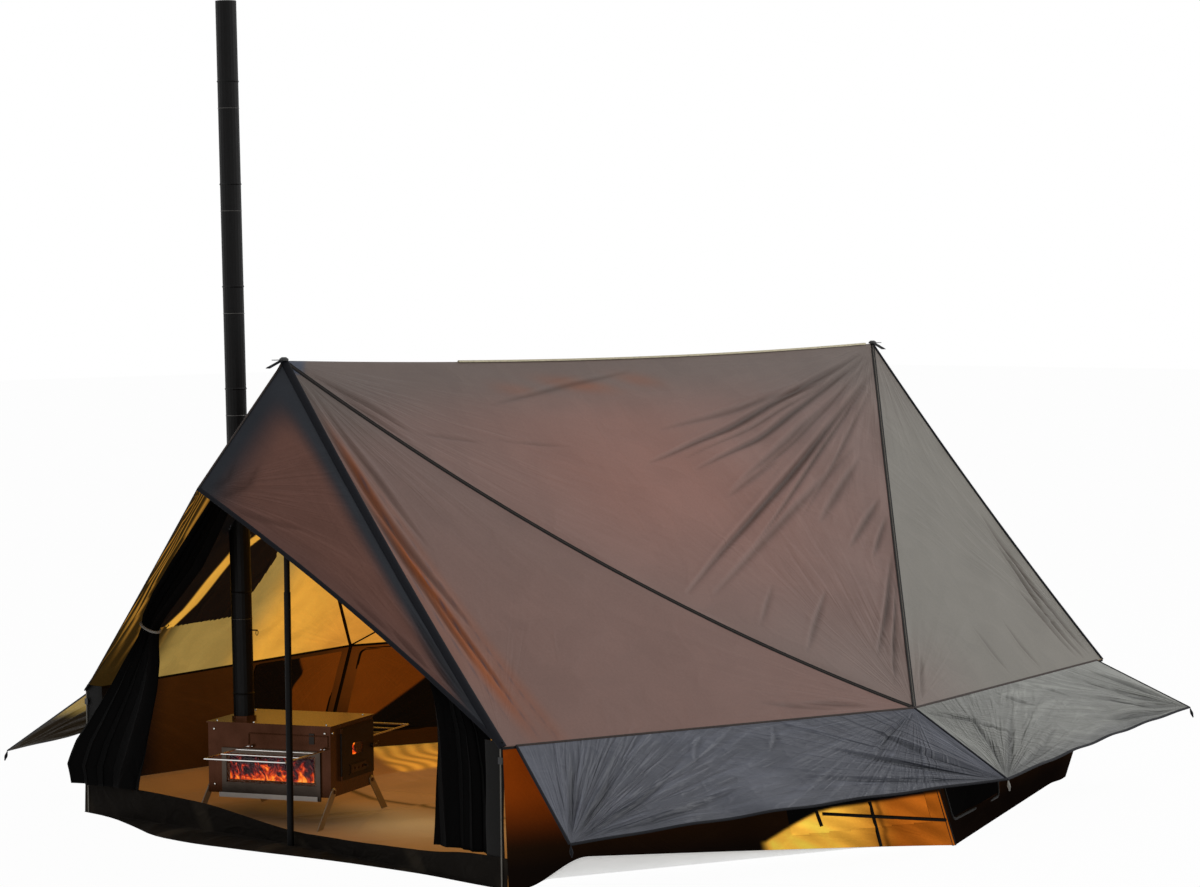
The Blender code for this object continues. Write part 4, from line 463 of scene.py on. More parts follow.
def panelPoints(corners, bulges, shares):
    # A flat triangle plus a bump for each edge, full in the middle of its own edge and zero on the others.
    points = shares @ corners
    for k in range(3):
        i, j = (k + 1) % 3, (k + 2) % 3
        points = points + 4 * (shares[:, i] * shares[:, j])[:, None] * bulges[k]
    return points


def endSag(side):
    # How far the seam between a roof panel and its hood sags in the middle, square to the seam.
    run = unit(np.array([tent["endHalfWidth"], 0, tent["eave"] - tent["apex"]]))
    return np.array([run[2] * side, 0, -run[0]]) * tent["endSeamSag"]


def addTriangle(name, facts):
    # A roof or hood panel: its smooth surface, folds raised by formula, and fine folds left to the material.
    corners, bulges = np.array(facts["corners"], float), np.array(facts["bulges"], float)
    shares, faces = triangleGrid(facts["rows"])
    flat = shares @ corners
    normal = unit(np.cross(corners[1] - corners[0], corners[2] - corners[0]))
    if normal @ facts["outward"] < 0:
        normal = -normal
    doubled = np.linalg.norm(np.cross(corners[1] - corners[0], corners[2] - corners[0]))
    mask = np.ones(len(shares))
    for k in range(3):
        edge = np.linalg.norm(corners[(k + 2) % 3] - corners[(k + 1) % 3])
        if k not in facts.get("free", ()):
            mask *= smooth(0, 0.05, shares[:, k] * doubled / edge)
    height, shade = slackness(flat, normal, facts["slack"], 0.55, len(name)), np.zeros(len(shares))
    for fold in facts["folds"]:
        height += fanFolds(flat, normal, fold)
    for stops, width, depth in facts.get("creases", ()):
        raised, hollow = creaseField(flat, normal, curveThrough(np.array(stops) @ corners), width, depth)
        height += raised
        shade = np.maximum(shade, hollow * min(1, depth / 0.014))
    points = panelPoints(corners, bulges, shares) + normal * (height * mask)[:, None]
    faces = facing(points, faces, normal)
    if facts.get("cut"):
        faces = faces[~facts["cut"](points[faces].mean(axis=1))]
    along = unit(corners[1] - corners[0])
    uv = np.stack([flat @ along, flat @ np.cross(normal, along)], axis=1)
    fans = [fanField(flat, normal, fan) for fan in facts.get("fans", ())]
    item = addPiece(name, points, faces, facts["materials"],
                    replaced=(name.replace("cloth_", ""),), uv=uv,
                    tints=facts["tint"](points, shares, shade), thickness=clothThickness, fans=fans)
    areaOf(flat, faces)


def ribbon(name, path, outward, width, rise, material, back=0.0015):
    # A raised tape along a path: each cross-section is a half ellipse of the given width and rise.
    path, outward = np.asarray(path, float), np.asarray(outward, float)
    moved = np.append(True, np.linalg.norm(np.diff(path, axis=0), axis=1) > 1e-6)
    path, outward = path[moved], np.broadcast_to(outward, path.shape)[moved]
    along = np.gradient(path, axis=0)
    along /= np.linalg.norm(along, axis=1)[:, None]
    across = np.cross(outward, along)
    across /= np.linalg.norm(across, axis=1)[:, None]
    up = np.cross(along, across)
    turn = np.linspace(0, np.pi, 7)
    ring = np.concatenate([np.stack([np.cos(turn) * width / 2, np.sin(turn) * rise], 1),
                           [[-width / 2, -back], [width / 2, -back]]])
    points = path[:, None] + across[:, None] * ring[None, :, :1] + up[:, None] * ring[None, :, 1:]
    rows, rings = len(path), len(ring)
    i, j = np.meshgrid(np.arange(rows - 1), np.arange(rings), indexing="ij")
    a, b = (i * rings + j).ravel(), (i * rings + (j + 1) % rings).ravel()
    faces = [tuple(face) for face in np.stack([a, a + rings, b + rings, b], axis=1)]
    faces += [tuple(range(rings)), tuple(range(rows * rings - 1, (rows - 1) * rings - 1, -1))]
    length = np.concatenate([[0], np.cumsum(np.linalg.norm(np.diff(path, axis=0), axis=1))])
    uv = np.stack(np.meshgrid(length, np.linspace(0, width * 1.6, rings), indexing="ij"), -1).reshape(-1, 2)
    return addPiece(name, points.reshape(-1, 3), faces, [material], uv=uv, angle=50)


def tubePoints(line, radius, count=12):
    # Rings of points along a line, each square to it, and the faces between them with closed ends.
    line = np.asarray(line, float)
    tangent = np.gradient(line, axis=0)
    tangent /= np.linalg.norm(tangent, axis=1)[:, None]
    guide = np.array([0.0, 0.0, 1.0]) if abs(tangent[0][2]) < 0.9 else np.array([1.0, 0.0, 0.0])
    first = np.cross(guide, tangent)
    first /= np.linalg.norm(first, axis=1)[:, None]
    second = np.cross(tangent, first)
    turn = np.linspace(0, 2 * np.pi, count, endpoint=False)
    radius = np.broadcast_to(radius, len(line))[:, None, None]
    ring = first[:, None] * np.cos(turn)[None, :, None] + second[:, None] * np.sin(turn)[None, :, None]
    points = line[:, None] + radius * ring
    i, j = np.meshgrid(np.arange(len(line) - 1), np.arange(count), indexing="ij")
    a, b = (i * count + j).ravel(), (i * count + (j + 1) % count).ravel()
    faces = [tuple(face) for face in np.stack([a, b, b + count, a + count], axis=1)]
    faces += [tuple(range(count))[::-1], tuple(range((len(line) - 1) * count, len(line) * count))]
    return points.reshape(-1, 3), faces


# Cloth finishes
clothThickness = 0.0013
clothPaint = {
    "roofCool": paint(121, 117, 109), "roofWarm": paint(122, 100, 93), "roofGlowRed": paint(146, 104, 92),
    "roofTop": paint(106, 95, 89), "lampGlowStreak": paint(150, 76, 22), "fold": paint(50, 32, 22),
    "patch": paint(60, 74, 96), "slate": paint(57, 60, 66), "slateDeep": paint(43, 46, 52),
    "hoodRed": paint(130, 91, 79), "skirtFrontShaded": paint(97, 100, 111), "skirtRearLit": paint(152, 153, 147),
    "skirtShade": paint(60, 63, 68), "gold": paint(222, 168, 66), "goldLow": paint(206, 148, 58),
    "khaki": paint(152, 130, 70), "umber": paint(46, 34, 12), "brownInside": paint(74, 41, 13),
    "orangeInside": paint(112, 58, 12), "wallOut": paint(118, 50, 8), "wallLow": paint(26, 15, 7),
    "black": paint(15, 14, 14), "tan": paint(134, 92, 48), "tanLit": paint(168, 148, 108),
    "litFloor": paint(254, 190, 70), "mat": paint(146, 108, 66),
}
# The glow of the inner faces, walls, nets and groundsheet below is painted lamp light, given out as emission.
roofOut = clothMaterial("roof_cloth_outside", roughness=0.5, sheen=0.0, crumple=0.12, size=5.0,
                        variation=0.05, folds=0.4, foldShade=0.12, shine=0.28)
roofIn = clothMaterial("roof_cloth_inside", tint="tintInside", glow=0.75, sheen=0.0, crumple=0.6, size=5.0,
                       variation=0.12, foldShade=0.2, shine=0.1)
hoodOut = clothMaterial("hood_cloth_outside", roughness=0.55, sheen=0.0, crumple=0.12, size=4.5,
                        variation=0.06, foldShade=0.12, folds=0.4, shine=0.15)
skirtOut = clothMaterial("skirt_cloth_outside", roughness=0.48, sheen=0.0, crumple=0.25, size=7.0,
                         variation=0.08, foldShade=0.4, folds=0.9, shine=0.3)
wallOut = clothMaterial("wall_cloth_outside", roughness=0.7, sheen=0.0, crumple=0.3, variation=0.1,
                        glow=0.55, shine=0.0)
wallIn = clothMaterial("wall_cloth_inside", tint="tintInside", glow=0.7, sheen=0.0, crumple=0.4,
                       variation=0.14, shine=0.08)
blackCloth = clothMaterial("black_cloth", roughness=0.75, sheen=0.0, crumple=0.4, size=7.0, variation=0.15,
                           shine=0.03)


def insideTint(points):
    # Lamp light on the inner face: golden in the middle of the tent, olive and then umber with thin golden
    # streaks towards the front eaves.
    p = clothPaint
    y, z = points[:, 1], points[:, 2]
    tint = mixTint(p["khaki"], p["gold"], smooth(-1.05, -0.72, y))
    tint = mixTint(tint, p["goldLow"], smooth(-0.55, -0.1, y) * smooth(1.3, 0.8, z))
    streaks = smooth(0.55, 0.95, np.sin(88 * (y + 0.05 * z) + 2 * np.sin(6 * z))) * smooth(0.6, 1.0, z)
    dark = mixTint(p["umber"] * np.ones_like(points), p["goldLow"], streaks * 0.7)
    return mixTint(tint, dark, smooth(-1.45, -1.62, y))


# Roof
roofRows = {"right": 212, "left": 120}  # the right side is the one that the photo shows


def roofTint(panel):
    def tint(points, shares, shade):
        p = clothPaint
        y, z = points[:, 1], points[:, 2]
        if panel == "front":
            # Painted lamp glow: the cloth turns redder away from the apex.
            base = mixTint(spread(p["roofWarm"], points), p["roofGlowRed"], smooth(0.9, 0.3, shares[:, 0]) * 0.35)
            base = mixTint(base, p["roofTop"], smooth(0.75, 0.95, shares[:, 0]))
            # Painted lamp glow: a striped orange band along the end edge, with thin darker lines in it.
            away = shares[:, 2] * 1.93
            a = shares[:, 1]
            centre, width = 0.045 + 0.16 * a ** 2, 0.034 + 0.085 * a
            band = np.exp(-((away - centre) / width) ** 2) * smooth(0.08, 0.3, a) * smooth(0.98, 0.72, a)
            stripes = 0.66 + 0.34 * np.sin((away / width) * 5 + 3 * a + 1.2 * np.sin(5 * a))
            base = mixTint(base, p["lampGlowStreak"], band * stripes)
            thin = np.exp(-(np.sin((away / width) * 4.2 + 1.1 * np.sin(4 * a)) / 0.16) ** 2) * band
            base = mixTint(base, p["patch"] * 0.6, thin * 0.7)
            base = mixTint(base, p["patch"], smooth(0.962, 0.972, shares[:, 0]) * 0.8)
        elif panel == "middle":
            # Painted lamp glow: red-brown in the middle of the panel, where the light comes through the
            # cloth.
            lampGlow = np.exp(-((y + 0.25) / 0.95) ** 2 - ((z - 1.45) / 0.45) ** 2)
            base = mixTint(spread(p["roofWarm"], points), p["roofGlowRed"], lampGlow)
            base = mixTint(base, p["roofCool"], smooth(1.1, 1.9, y) * 0.35 + smooth(1.0, 0.6, z) * 0.2)
            base = mixTint(base, p["roofTop"], smooth(1.70, 1.93, z) * 0.75)
            # Painted lamp glow: orange patches along the ridge.
            ridgeGlow = np.exp(-((z - 1.86) / 0.035) ** 2) * smooth(-0.9, -0.5, y) * smooth(0.35, 0.0, y)
            base = mixTint(base, p["lampGlowStreak"], ridgeGlow * (0.5 + 0.5 * np.sin(13 * y + 40 * z)) * 0.5)
            base = mixTint(base, p["patch"], smooth(0.965, 0.975, shares[:, 0]) * 0.8)
        else:
            base = mixTint(spread(p["roofCool"], points), p["roofTop"] * 0.95, smooth(1.5, 1.95, z) * 0.6)
            base = mixTint(base, p["roofWarm"], smooth(0.9, 0.6, z) * smooth(0.9, 0.0, y) * 0.6)
        # Painted shade: the crease hollows are darkened towards a dark brown.
        return {"tint": mixTint(base, p["fold"], shade * 0.94), "tintInside": insideTint(points)}
    return tint


# Stops as shares of the front apex, the middle corner and the rear apex, then width and depth
middleCreases = (
    (((0.03, 0.03, 0.94), (0.28, 0.20, 0.52), (0.42, 0.27, 0.31)), 0.017, 0.016),
    (((0.03, 0.06, 0.91), (0.25, 0.21, 0.54), (0.36, 0.27, 0.37)), 0.010, 0.008),
    (((0.02, 0.04, 0.94), (0.22, 0.23, 0.55), (0.34, 0.30, 0.36)), 0.016, 0.014),
    (((0.01, 0.05, 0.94), (0.16, 0.25, 0.59), (0.27, 0.36, 0.37)), 0.010, 0.009),
    (((0.01, 0.09, 0.90), (0.14, 0.29, 0.57), (0.21, 0.39, 0.40), (0.30, 0.51, 0.19), (0.36, 0.60, 0.04)),
     0.019, 0.020),
    (((0.01, 0.10, 0.89), (0.13, 0.31, 0.56), (0.19, 0.42, 0.39), (0.25, 0.52, 0.23)), 0.010, 0.012),
    (((0.01, 0.13, 0.86), (0.10, 0.34, 0.56), (0.16, 0.46, 0.38)), 0.010, 0.009),
    (((0.06, 0.30, 0.64), (0.21, 0.48, 0.31), (0.32, 0.62, 0.06)), 0.020, 0.008),
    (((0.06, 0.12, 0.82), (0.15, 0.22, 0.63), (0.28, 0.36, 0.36)), 0.018, 0.009),
    (((0.10, 0.10, 0.80), (0.26, 0.15, 0.59), (0.40, 0.19, 0.41)), 0.020, 0.008),
    (((0.20, 0.30, 0.50), (0.29, 0.38, 0.33)), 0.018, 0.007),
    (((0.05, 0.33, 0.62), (0.13, 0.48, 0.39)), 0.020, 0.009),
    (((0.02, 0.45, 0.53), (0.08, 0.56, 0.36)), 0.016, 0.010),
    (((0.005, 0.60, 0.395), (0.03, 0.75, 0.22), (0.05, 0.85, 0.10)), 0.014, 0.013),
    (((0.005, 0.66, 0.335), (0.018, 0.80, 0.182), (0.028, 0.93, 0.042)), 0.010, 0.014),
    (((0.01, 0.50, 0.49), (0.04, 0.60, 0.36)), 0.012, 0.010),
    (((0.13, 0.66, 0.21), (0.17, 0.80, 0.03)), 0.014, 0.008),
    (((0.22, 0.62, 0.16), (0.245, 0.715, 0.04)), 0.012, 0.006),
    (((0.68, 0.105, 0.215), (0.56, 0.060, 0.380), (0.46, 0.035, 0.505)), 0.018, 0.008),
    (((0.79, 0.165, 0.045), (0.69, 0.195, 0.115)), 0.010, 0.004),
    (((0.67, 0.190, 0.140), (0.56, 0.215, 0.225)), 0.010, 0.004),
    (((0.96, 0.03, 0.01), (0.87, 0.10, 0.03), (0.80, 0.165, 0.035)), 0.014, 0.008),
    (((0.93, 0.06, 0.01), (0.86, 0.13, 0.01), (0.79, 0.195, 0.015)), 0.012, 0.007),
    (((0.84, 0.155, 0.005), (0.75, 0.245, 0.005)), 0.012, 0.006),
)
frontCreases = (
    (((0.95, 0.04, 0.01), (0.78, 0.20, 0.02), (0.56, 0.40, 0.04), (0.31, 0.60, 0.09)), 0.016, 0.010),
    (((0.92, 0.05, 0.03), (0.70, 0.23, 0.07), (0.52, 0.38, 0.10)), 0.014, 0.006),
    (((0.76, 0.24, 0.005), (0.46, 0.51, 0.03), (0.20, 0.75, 0.05)), 0.013, 0.009),
    (((0.50, 0.47, 0.03), (0.30, 0.64, 0.06), (0.12, 0.80, 0.08)), 0.010, 0.007),
    (((0.02, 0.09, 0.89), (0.05, 0.22, 0.73)), 0.016, 0.007),
    (((0.02, 0.18, 0.80), (0.06, 0.30, 0.64)), 0.014, 0.005),
)
rearCreases = (
    (((0.45, 0.49, 0.06), (0.22, 0.71, 0.07), (0.03, 0.92, 0.05)), 0.020, 0.013),
    (((0.36, 0.55, 0.09), (0.16, 0.73, 0.11), (0.02, 0.89, 0.09)), 0.016, 0.011),
    (((0.24, 0.61, 0.15), (0.03, 0.85, 0.12)), 0.014, 0.007),
    (((0.16, 0.50, 0.34), (0.02, 0.65, 0.33)), 0.012, 0.006),
    (((0.16, 0.34, 0.50), (0.03, 0.48, 0.49)), 0.012, 0.005),
    (((0.12, 0.06, 0.82), (0.02, 0.04, 0.94)), 0.012, 0.007),
)


def diagonalBulge(side, end):
    # The right front diagonal hangs slack.
    return down * (tent["slackSag"] if side > 0 and end < 0 else tent["diagonalSag"])


def addRoof():
    for side, hand in ((1, "right"), (-1, "left")):
        outward = np.array([side, 0, 1.0])
        for end, spot in ((-1, "front"), (1, "rear")):
            p = cornerPoints(side, end)
            folds = (
                {"start": p["apex"], "towards": (p["eave"] + p["middle"]) / 2, "spread": 0.5, "folds": 40,
                 "depth": 0.003, "reach": 0.40, "seed": 3},
                {"start": p["middle"], "towards": p["apex"] * 0.5 + p["eave"] * 0.5, "spread": 0.45,
                 "folds": 44, "depth": 0.003, "reach": 0.35, "seed": 7},
            )
            fans = (
                {"start": p["apex"], "towards": p["eave"] * 0.6 + p["middle"] * 0.4, "spread": 0.5,
                 "share": 0.45, "reach": 0.30, "seed": 3},
                {"start": p["eave"], "towards": p["apex"] * 0.7 + p["middle"] * 0.3, "spread": 0.55,
                 "share": 0.1 if end < 0 else 0.8, "reach": 0.35, "seed": 9},
                {"start": p["middle"], "towards": p["apex"] * 0.35 + p["eave"] * 0.65, "spread": 0.55,
                 "share": 0.5, "reach": 0.25, "seed": 14},
            )
            cut = behindJack if side < 0 and end < 0 else None
            addTriangle(f"cloth_roof_{hand}_{spot}", {
                "corners": (p["apex"], p["eave"], p["middle"]),
                "bulges": (np.zeros(3), diagonalBulge(side, end), endSag(side)),
                "outward": outward, "folds": folds, "fans": fans, "materials": (roofOut, roofIn),
                "tint": roofTint(spot), "creases": frontCreases if end < 0 else rearCreases,
                "slot": "roof_cloth", "rows": roofRows[hand], "slack": 0.003,
                "restsOn": [("front" if end < 0 else "rear") + "_pole_upper"], "cut": cut})
        p = cornerPoints(side, -1)
        folds = (
            {"start": p["otherApex"], "towards": p["apex"] * 0.35 + p["middle"] * 0.65, "spread": 0.75,
             "folds": 34, "depth": 0.005, "reach": 0.6, "seed": 22},
            {"start": p["middle"], "towards": p["otherApex"] * 0.8 + p["apex"] * 0.2, "spread": 0.55,
             "folds": 50, "depth": 0.003, "reach": 0.5, "seed": 23},
        )
        fans = (
            {"start": p["otherApex"], "towards": p["apex"] * 0.4 + p["middle"] * 0.6, "spread": 0.8,
             "share": 0.6, "reach": 0.6, "seed": 2},
            {"start": p["apex"], "towards": p["otherApex"] * 0.35 + p["middle"] * 0.65, "spread": 0.5,
             "share": 0.8, "reach": 0.35, "seed": 6},
            {"start": p["middle"], "towards": p["otherApex"] * 0.7 + p["apex"] * 0.3, "spread": 0.7,
             "share": 0.55, "reach": 0.40, "seed": 17},
        )
        addTriangle(f"cloth_roof_{hand}_middle", {
            "corners": (p["apex"], p["middle"], p["otherApex"]),
            "bulges": (diagonalBulge(side, 1), down * tent["ridgeSag"], diagonalBulge(side, -1)),
            "outward": outward, "folds": folds, "fans": fans, "creases": middleCreases,
            "materials": (roofOut, roofIn), "tint": roofTint("middle"), "slot": "roof_cloth",
            "rows": roofRows[hand] + 30, "slack": 0.004, "restsOn": ["front_pole_upper", "rear_pole_upper"]})


# The flue's foot, lean per metre of height and radius; the patch round it in shares of its size
flue = {"foot": np.array([-0.7025, -1.5265]), "lean": np.array([-0.0079, -0.0079]), "radius": 0.045}
jack = {"size": 0.60, "outline": ((-0.70, -0.35), (-0.92, 0.65), (-0.50, 0.71), (0.22, 0.28), (0.39, -0.32))}


def insideOutline(points, outline):
    # True where a point lies left of every edge of a convex outline on the ground plan.
    inside = np.ones(len(points), bool)
    for first, second in zip(outline, np.roll(outline, -1, axis=0)):
        run, offset = second - first, points[:, :2] - first
        inside &= run[0] * offset[:, 1] - run[1] * offset[:, 0] < 0
    return inside


def jackOutline(shrink=0.0):
    outline = flue["foot"] + jack["size"] * np.array(jack["outline"])
    middle = outline.mean(axis=0)
    return middle + (outline - middle) * (1 - shrink) if shrink else outline


def behindJack(points):
    return insideOutline(points, jackOutline(0.05))


addRoof()
print("roof made")


# Hoods over the two ends


def hoodTint(side):
    def tint(points, shares, shade):
        # shares are those of the apex, the hood's tip and the eave corner.
        p = clothPaint
        base = mixTint(spread(p["slateDeep"], points), p["slate"], smooth(0.3, 0.0, shares[:, 1]))
        red = (smooth(0.07, 0.2, shares[:, 1]) * smooth(0.02, 0.13, shares[:, 2])
               * smooth(0.85, 0.6, shares[:, 0]))
        red = red * (0.9 if side > 0 else 0.3) * (0.75 + 0.25 * smooth(0.0, 0.2, shares[:, 0]))
        # Painted shade: the crease hollows are darkened towards a dark brown.
        return {"tint": mixTint(mixTint(base, p["hoodRed"], red), p["fold"] * 0.5, shade * 0.5),
                "tintInside": insideTint(points)}
    return tint


hoodCreases = (
    (((0.02, 0.92, 0.06), (0.20, 0.70, 0.10), (0.36, 0.54, 0.10)), 0.018, 0.009),
    (((0.02, 0.95, 0.03), (0.16, 0.79, 0.05), (0.30, 0.66, 0.04)), 0.014, 0.007),
    (((0.03, 0.86, 0.11), (0.10, 0.70, 0.20), (0.20, 0.52, 0.28)), 0.014, 0.006),
    (((0.30, 0.08, 0.62), (0.14, 0.07, 0.79), (0.03, 0.05, 0.92)), 0.016, 0.009),
    (((0.20, 0.14, 0.66), (0.08, 0.12, 0.80), (0.02, 0.07, 0.91)), 0.013, 0.008),
    (((0.06, 0.45, 0.49), (0.05, 0.34, 0.61)), 0.012, 0.005),
    (((0.08, 0.30, 0.62), (0.04, 0.22, 0.74)), 0.012, 0.006),
)


def hoodEdgeBulge(p, side, end):
    # The lower edge's sag, square to it within the hood's plane, and the way that the hood faces.
    normal = unit(np.cross(p["tip"] - p["apex"], p["eave"] - p["apex"]))
    inwards = unit(np.cross(unit(p["eave"] - p["tip"]), normal * -side * end))
    return tent["hoodEdgeSag"] * inwards * np.sign(inwards[2]), normal


def addHoods():
    for end, spot in ((-1, "front"), (1, "rear")):
        for side, hand in ((1, "right"), (-1, "left")):
            p = cornerPoints(side, end)
            bulge = hoodEdgeBulge(p, side, end)[0]
            folds = (
                {"start": p["tip"], "towards": p["eave"] * 0.6 + p["apex"] * 0.4, "spread": 0.6, "folds": 26,
                 "depth": 0.004, "reach": 0.30, "seed": 32},
                {"start": p["eave"], "towards": p["tip"] * 0.5 + p["apex"] * 0.5, "spread": 0.25, "folds": 60,
                 "depth": 0.004, "reach": 0.45, "seed": 33},
            )
            fans = (
                {"start": p["tip"], "towards": p["apex"] * 0.6 + p["eave"] * 0.4, "spread": 0.8, "share": 0.9,
                 "reach": 0.2, "seed": 4},
                {"start": p["eave"], "towards": p["tip"] * 0.5 + p["apex"] * 0.5, "spread": 0.35,
                 "share": 0.7, "reach": 0.5, "seed": 8},
            )
            addTriangle(f"cloth_hood_{spot}_{hand}", {
                "corners": (p["apex"], p["tip"], p["eave"]), "bulges": (bulge, endSag(side), np.zeros(3)),
                "outward": np.array([side * 0.4, end, 0.6]), "folds": folds, "fans": fans,
                "creases": hoodCreases, "materials": (hoodOut, roofIn), "tint": hoodTint(side),
                "slot": "hood_cloth", "rows": 130, "slack": 0.004,
                "restsOn": [("front" if end < 0 else "rear") + "_pole_upper"]})


addHoods()
print("hoods made")


# Skirts outside the eaves: each tip's reach past the end corner, past the tent's end, and its height
skirt = {"setback": 0.06, "frontTip": (0.465, 0.10, 0.240), "rearTip": (0.45, 0.05, 0.355),
         "middleReach": 0.48, "middleHeight": 0.30, "arch": 0.015, "foldDepth": 0.004, "folds": 5,
         "columns": 300, "rows": 90}
# Stops as shares along and down the skirt, from its start at the end corner; then width and depth
skirtCreases = (
    (((0.0, 0.98), (0.06, 0.55), (0.11, 0.15)), 0.016, 0.012),
    (((0.01, 0.97), (0.12, 0.60), (0.20, 0.25)), 0.018, 0.012),
    (((0.01, 0.98), (0.16, 0.75), (0.30, 0.45)), 0.018, 0.011),
    (((0.02, 0.98), (0.24, 0.88), (0.42, 0.70)), 0.016, 0.009),
    (((0.99, 0.97), (0.90, 0.62), (0.84, 0.25)), 0.016, 0.011),
    (((0.99, 0.98), (0.84, 0.70), (0.70, 0.40)), 0.018, 0.011),
    (((0.98, 0.99), (0.74, 0.84), (0.58, 0.66)), 0.016, 0.008),
    (((0.99, 0.90), (0.985, 0.50), (0.99, 0.10)), 0.014, 0.010),
    (((0.99, 0.06), (0.86, 0.30), (0.76, 0.60)), 0.014, 0.008),
    (((0.44, 0.04), (0.40, 0.20), (0.37, 0.36)), 0.012, 0.006),
    (((0.62, 0.04), (0.59, 0.22), (0.55, 0.36)), 0.012, 0.006),
)


def skirtCorners(side, end):
    p = cornerPoints(side, end)
    start = p["eave"] + unit(p["middle"] - p["eave"]) * skirt["setback"]
    reach, past, height = skirt["rearTip"] if end > 0 else skirt["frontTip"]
    endTip = np.array([(tent["endHalfWidth"] + reach) * side, (tent["halfLength"] + past) * end, height])
    middleTip = np.array([(tent["middleHalfWidth"] + skirt["middleReach"]) * side, 0, skirt["middleHeight"]])
    return np.array([start, p["middle"], middleTip, endTip])


def acrossSheet(corners, u, v):
    # A point between four corners: straight lines along top and bottom, joined by straight lines down.
    u, v = u[:, None], v[:, None]
    top = corners[0] * (1 - u) + corners[1] * u
    bottom = corners[3] * (1 - u) + corners[2] * u
    return top * (1 - v) + bottom * v


def skirtSurface(side, end, u, v):
    corners = skirtCorners(side, end)
    upward = unit((corners[0] + corners[1]) / 2 - (corners[2] + corners[3]) / 2)
    outward = unit(np.cross(corners[1] - corners[0], corners[3] - corners[0]))
    outward = outward * np.sign(outward[2])
    arch = skirt["arch"] * 4 * u * (1 - u) * v ** 2
    fold = skirt["foldDepth"] * np.sin(2 * np.pi * skirt["folds"] * u) * v ** 2 * 4 * u * (1 - u)
    return acrossSheet(corners, u, v) + arch[:, None] * upward + fold[:, None] * outward, corners, outward


def addSkirts():
    for side, hand in ((1, "right"), (-1, "left")):
        for end, spot in ((-1, "front"), (1, "rear")):
            u, v, faces = quadGrid(skirt["columns"], skirt["rows"])
            points, corners, outward = skirtSurface(side, end, u, v)
            flat = acrossSheet(corners, u, v)
            start, top, middleTip, endTip = corners
            folds = (
                {"start": endTip, "towards": (start + top) / 2, "spread": 0.9, "folds": 34, "depth": 0.006,
                 "reach": 0.33, "seed": 41},
                {"start": middleTip, "towards": (start + top) / 2, "spread": 0.9, "folds": 36, "depth": 0.005,
                 "reach": 0.35, "seed": 42},
            )
            fans = (
                {"start": endTip, "towards": (start + top) / 2, "spread": 1.0, "share": 1.0, "reach": 0.35,
                 "seed": 1},
                {"start": middleTip, "towards": (start + top) / 2, "spread": 1.0, "share": 0.9,
                 "reach": 0.35, "seed": 5},
                {"start": top, "towards": (middleTip + endTip) / 2, "spread": 1.2, "share": 0.8,
                 "reach": 0.3, "seed": 7},
            )
            height = (sum(fanFolds(flat, outward, fold) for fold in folds)
                      + slackness(flat, outward, 0.004, 0.3, 44))
            shade = np.zeros(len(points))
            for stops, width, depth in skirtCreases:
                line = curveThrough(stops)
                line = acrossSheet(corners, line[:, 0], line[:, 1])
                raised, hollow = creaseField(flat, outward, line, width, depth)
                height, shade = height + raised, np.maximum(shade, hollow * min(1, depth / 0.012))
            mask = (smooth(0, 0.06, v * 0.5) * smooth(0, 0.03, u) * smooth(0, 0.03, 1 - u)
                    * (1 - 0.6 * smooth(0.9, 1, v)))
            points = points + outward * (height * mask)[:, None]
            faces = facing(points, faces, outward)
            p = clothPaint
            # The front skirts are painted darker and the rear ones lighter: painted shade and light on one
            # cloth. Painted shade also darkens the lower edge and the crease hollows.
            base = spread(p["skirtFrontShaded"] if end < 0 else p["skirtRearLit"], points)
            hemShade = smooth(0.75, 1.0, v) * (0.22 if end < 0 else 0.5) * smooth(0, 0.3, u)
            tint = mixTint(base, p["skirtShade"], hemShade)
            tint = mixTint(tint, p["skirtShade"] * 0.6, shade * 0.6)
            # The underside: khaki lamp light, darker towards the lower edge near the end tip, painted light
            # and shade.
            under = mixTint(spread(p["khaki"], points), p["umber"] * 0.35,
                            smooth(0.30, 0.55, v) * smooth(1, 0.4, u))
            item = addPiece(f"cloth_skirt_{hand}_{spot}", points, faces, [skirtOut, roofIn],
                            replaced=(f"skirt_{hand}_{spot}",), uv=np.stack([u * 1.9, v * 0.5], axis=1),
                            tints={"tint": tint, "tintInside": under}, thickness=clothThickness,
                            fans=[fanField(flat, outward, fan) for fan in fans])
            area = areaOf(points, faces)


addSkirts()
print("skirts made")


# Walls and their windows
wall = {"grid": (200, 50), "litGrid": (340, 100), "windowStart": 0.075, "windowEnd": 0.71,
        "windowSill": 0.10, "windowHead": 0.035}


def wallSurface(side, end, u, v):
    # Between eave and ground, with a lower edge that lifts by a share of the way to the middle corner.
    p = cornerPoints(side, end)
    drop = down * tent["wallDrop"]
    corners = np.array([p["eave"] + drop, p["middle"] + drop, p["middleFoot"], p["foot"]])
    lift = tent["hemLift"][int(end > 0)] * smooth(*tent["hemStart"], u) * (1 - u) ** tent["hemFall"] * v
    outward = unit(np.cross(corners[1] - corners[0], corners[2] - corners[1]))
    return acrossSheet(corners, u, v) - lift[:, None] * down, corners, outward * np.sign(outward[0] * side)


def inWindow(points, grow=0.0):
    y, z = np.abs(points[:, 1]), points[:, 2]
    along = (y > wall["windowStart"] - grow) & (y < wall["windowEnd"] + grow)
    return along & (z > wall["windowSill"] - grow) & (z < tent["eave"] - wall["windowHead"] + grow)


def litShare(points):
    # Sunlit floor shining through the low right front wall, below the edge of the skirt's shadow.
    y, z = points[:, 1], points[:, 2]
    top = np.interp(y, (-0.83, -0.58, -0.50, 0.0), (0.085, 0.178, 0.187, 0.206))
    dimmed = 1 - 0.55 * smooth(0.02, 0.0, np.abs(y + 0.30))
    return smooth(0.010, -0.006, z - top) * smooth(-0.86, -0.80, y) * dimmed


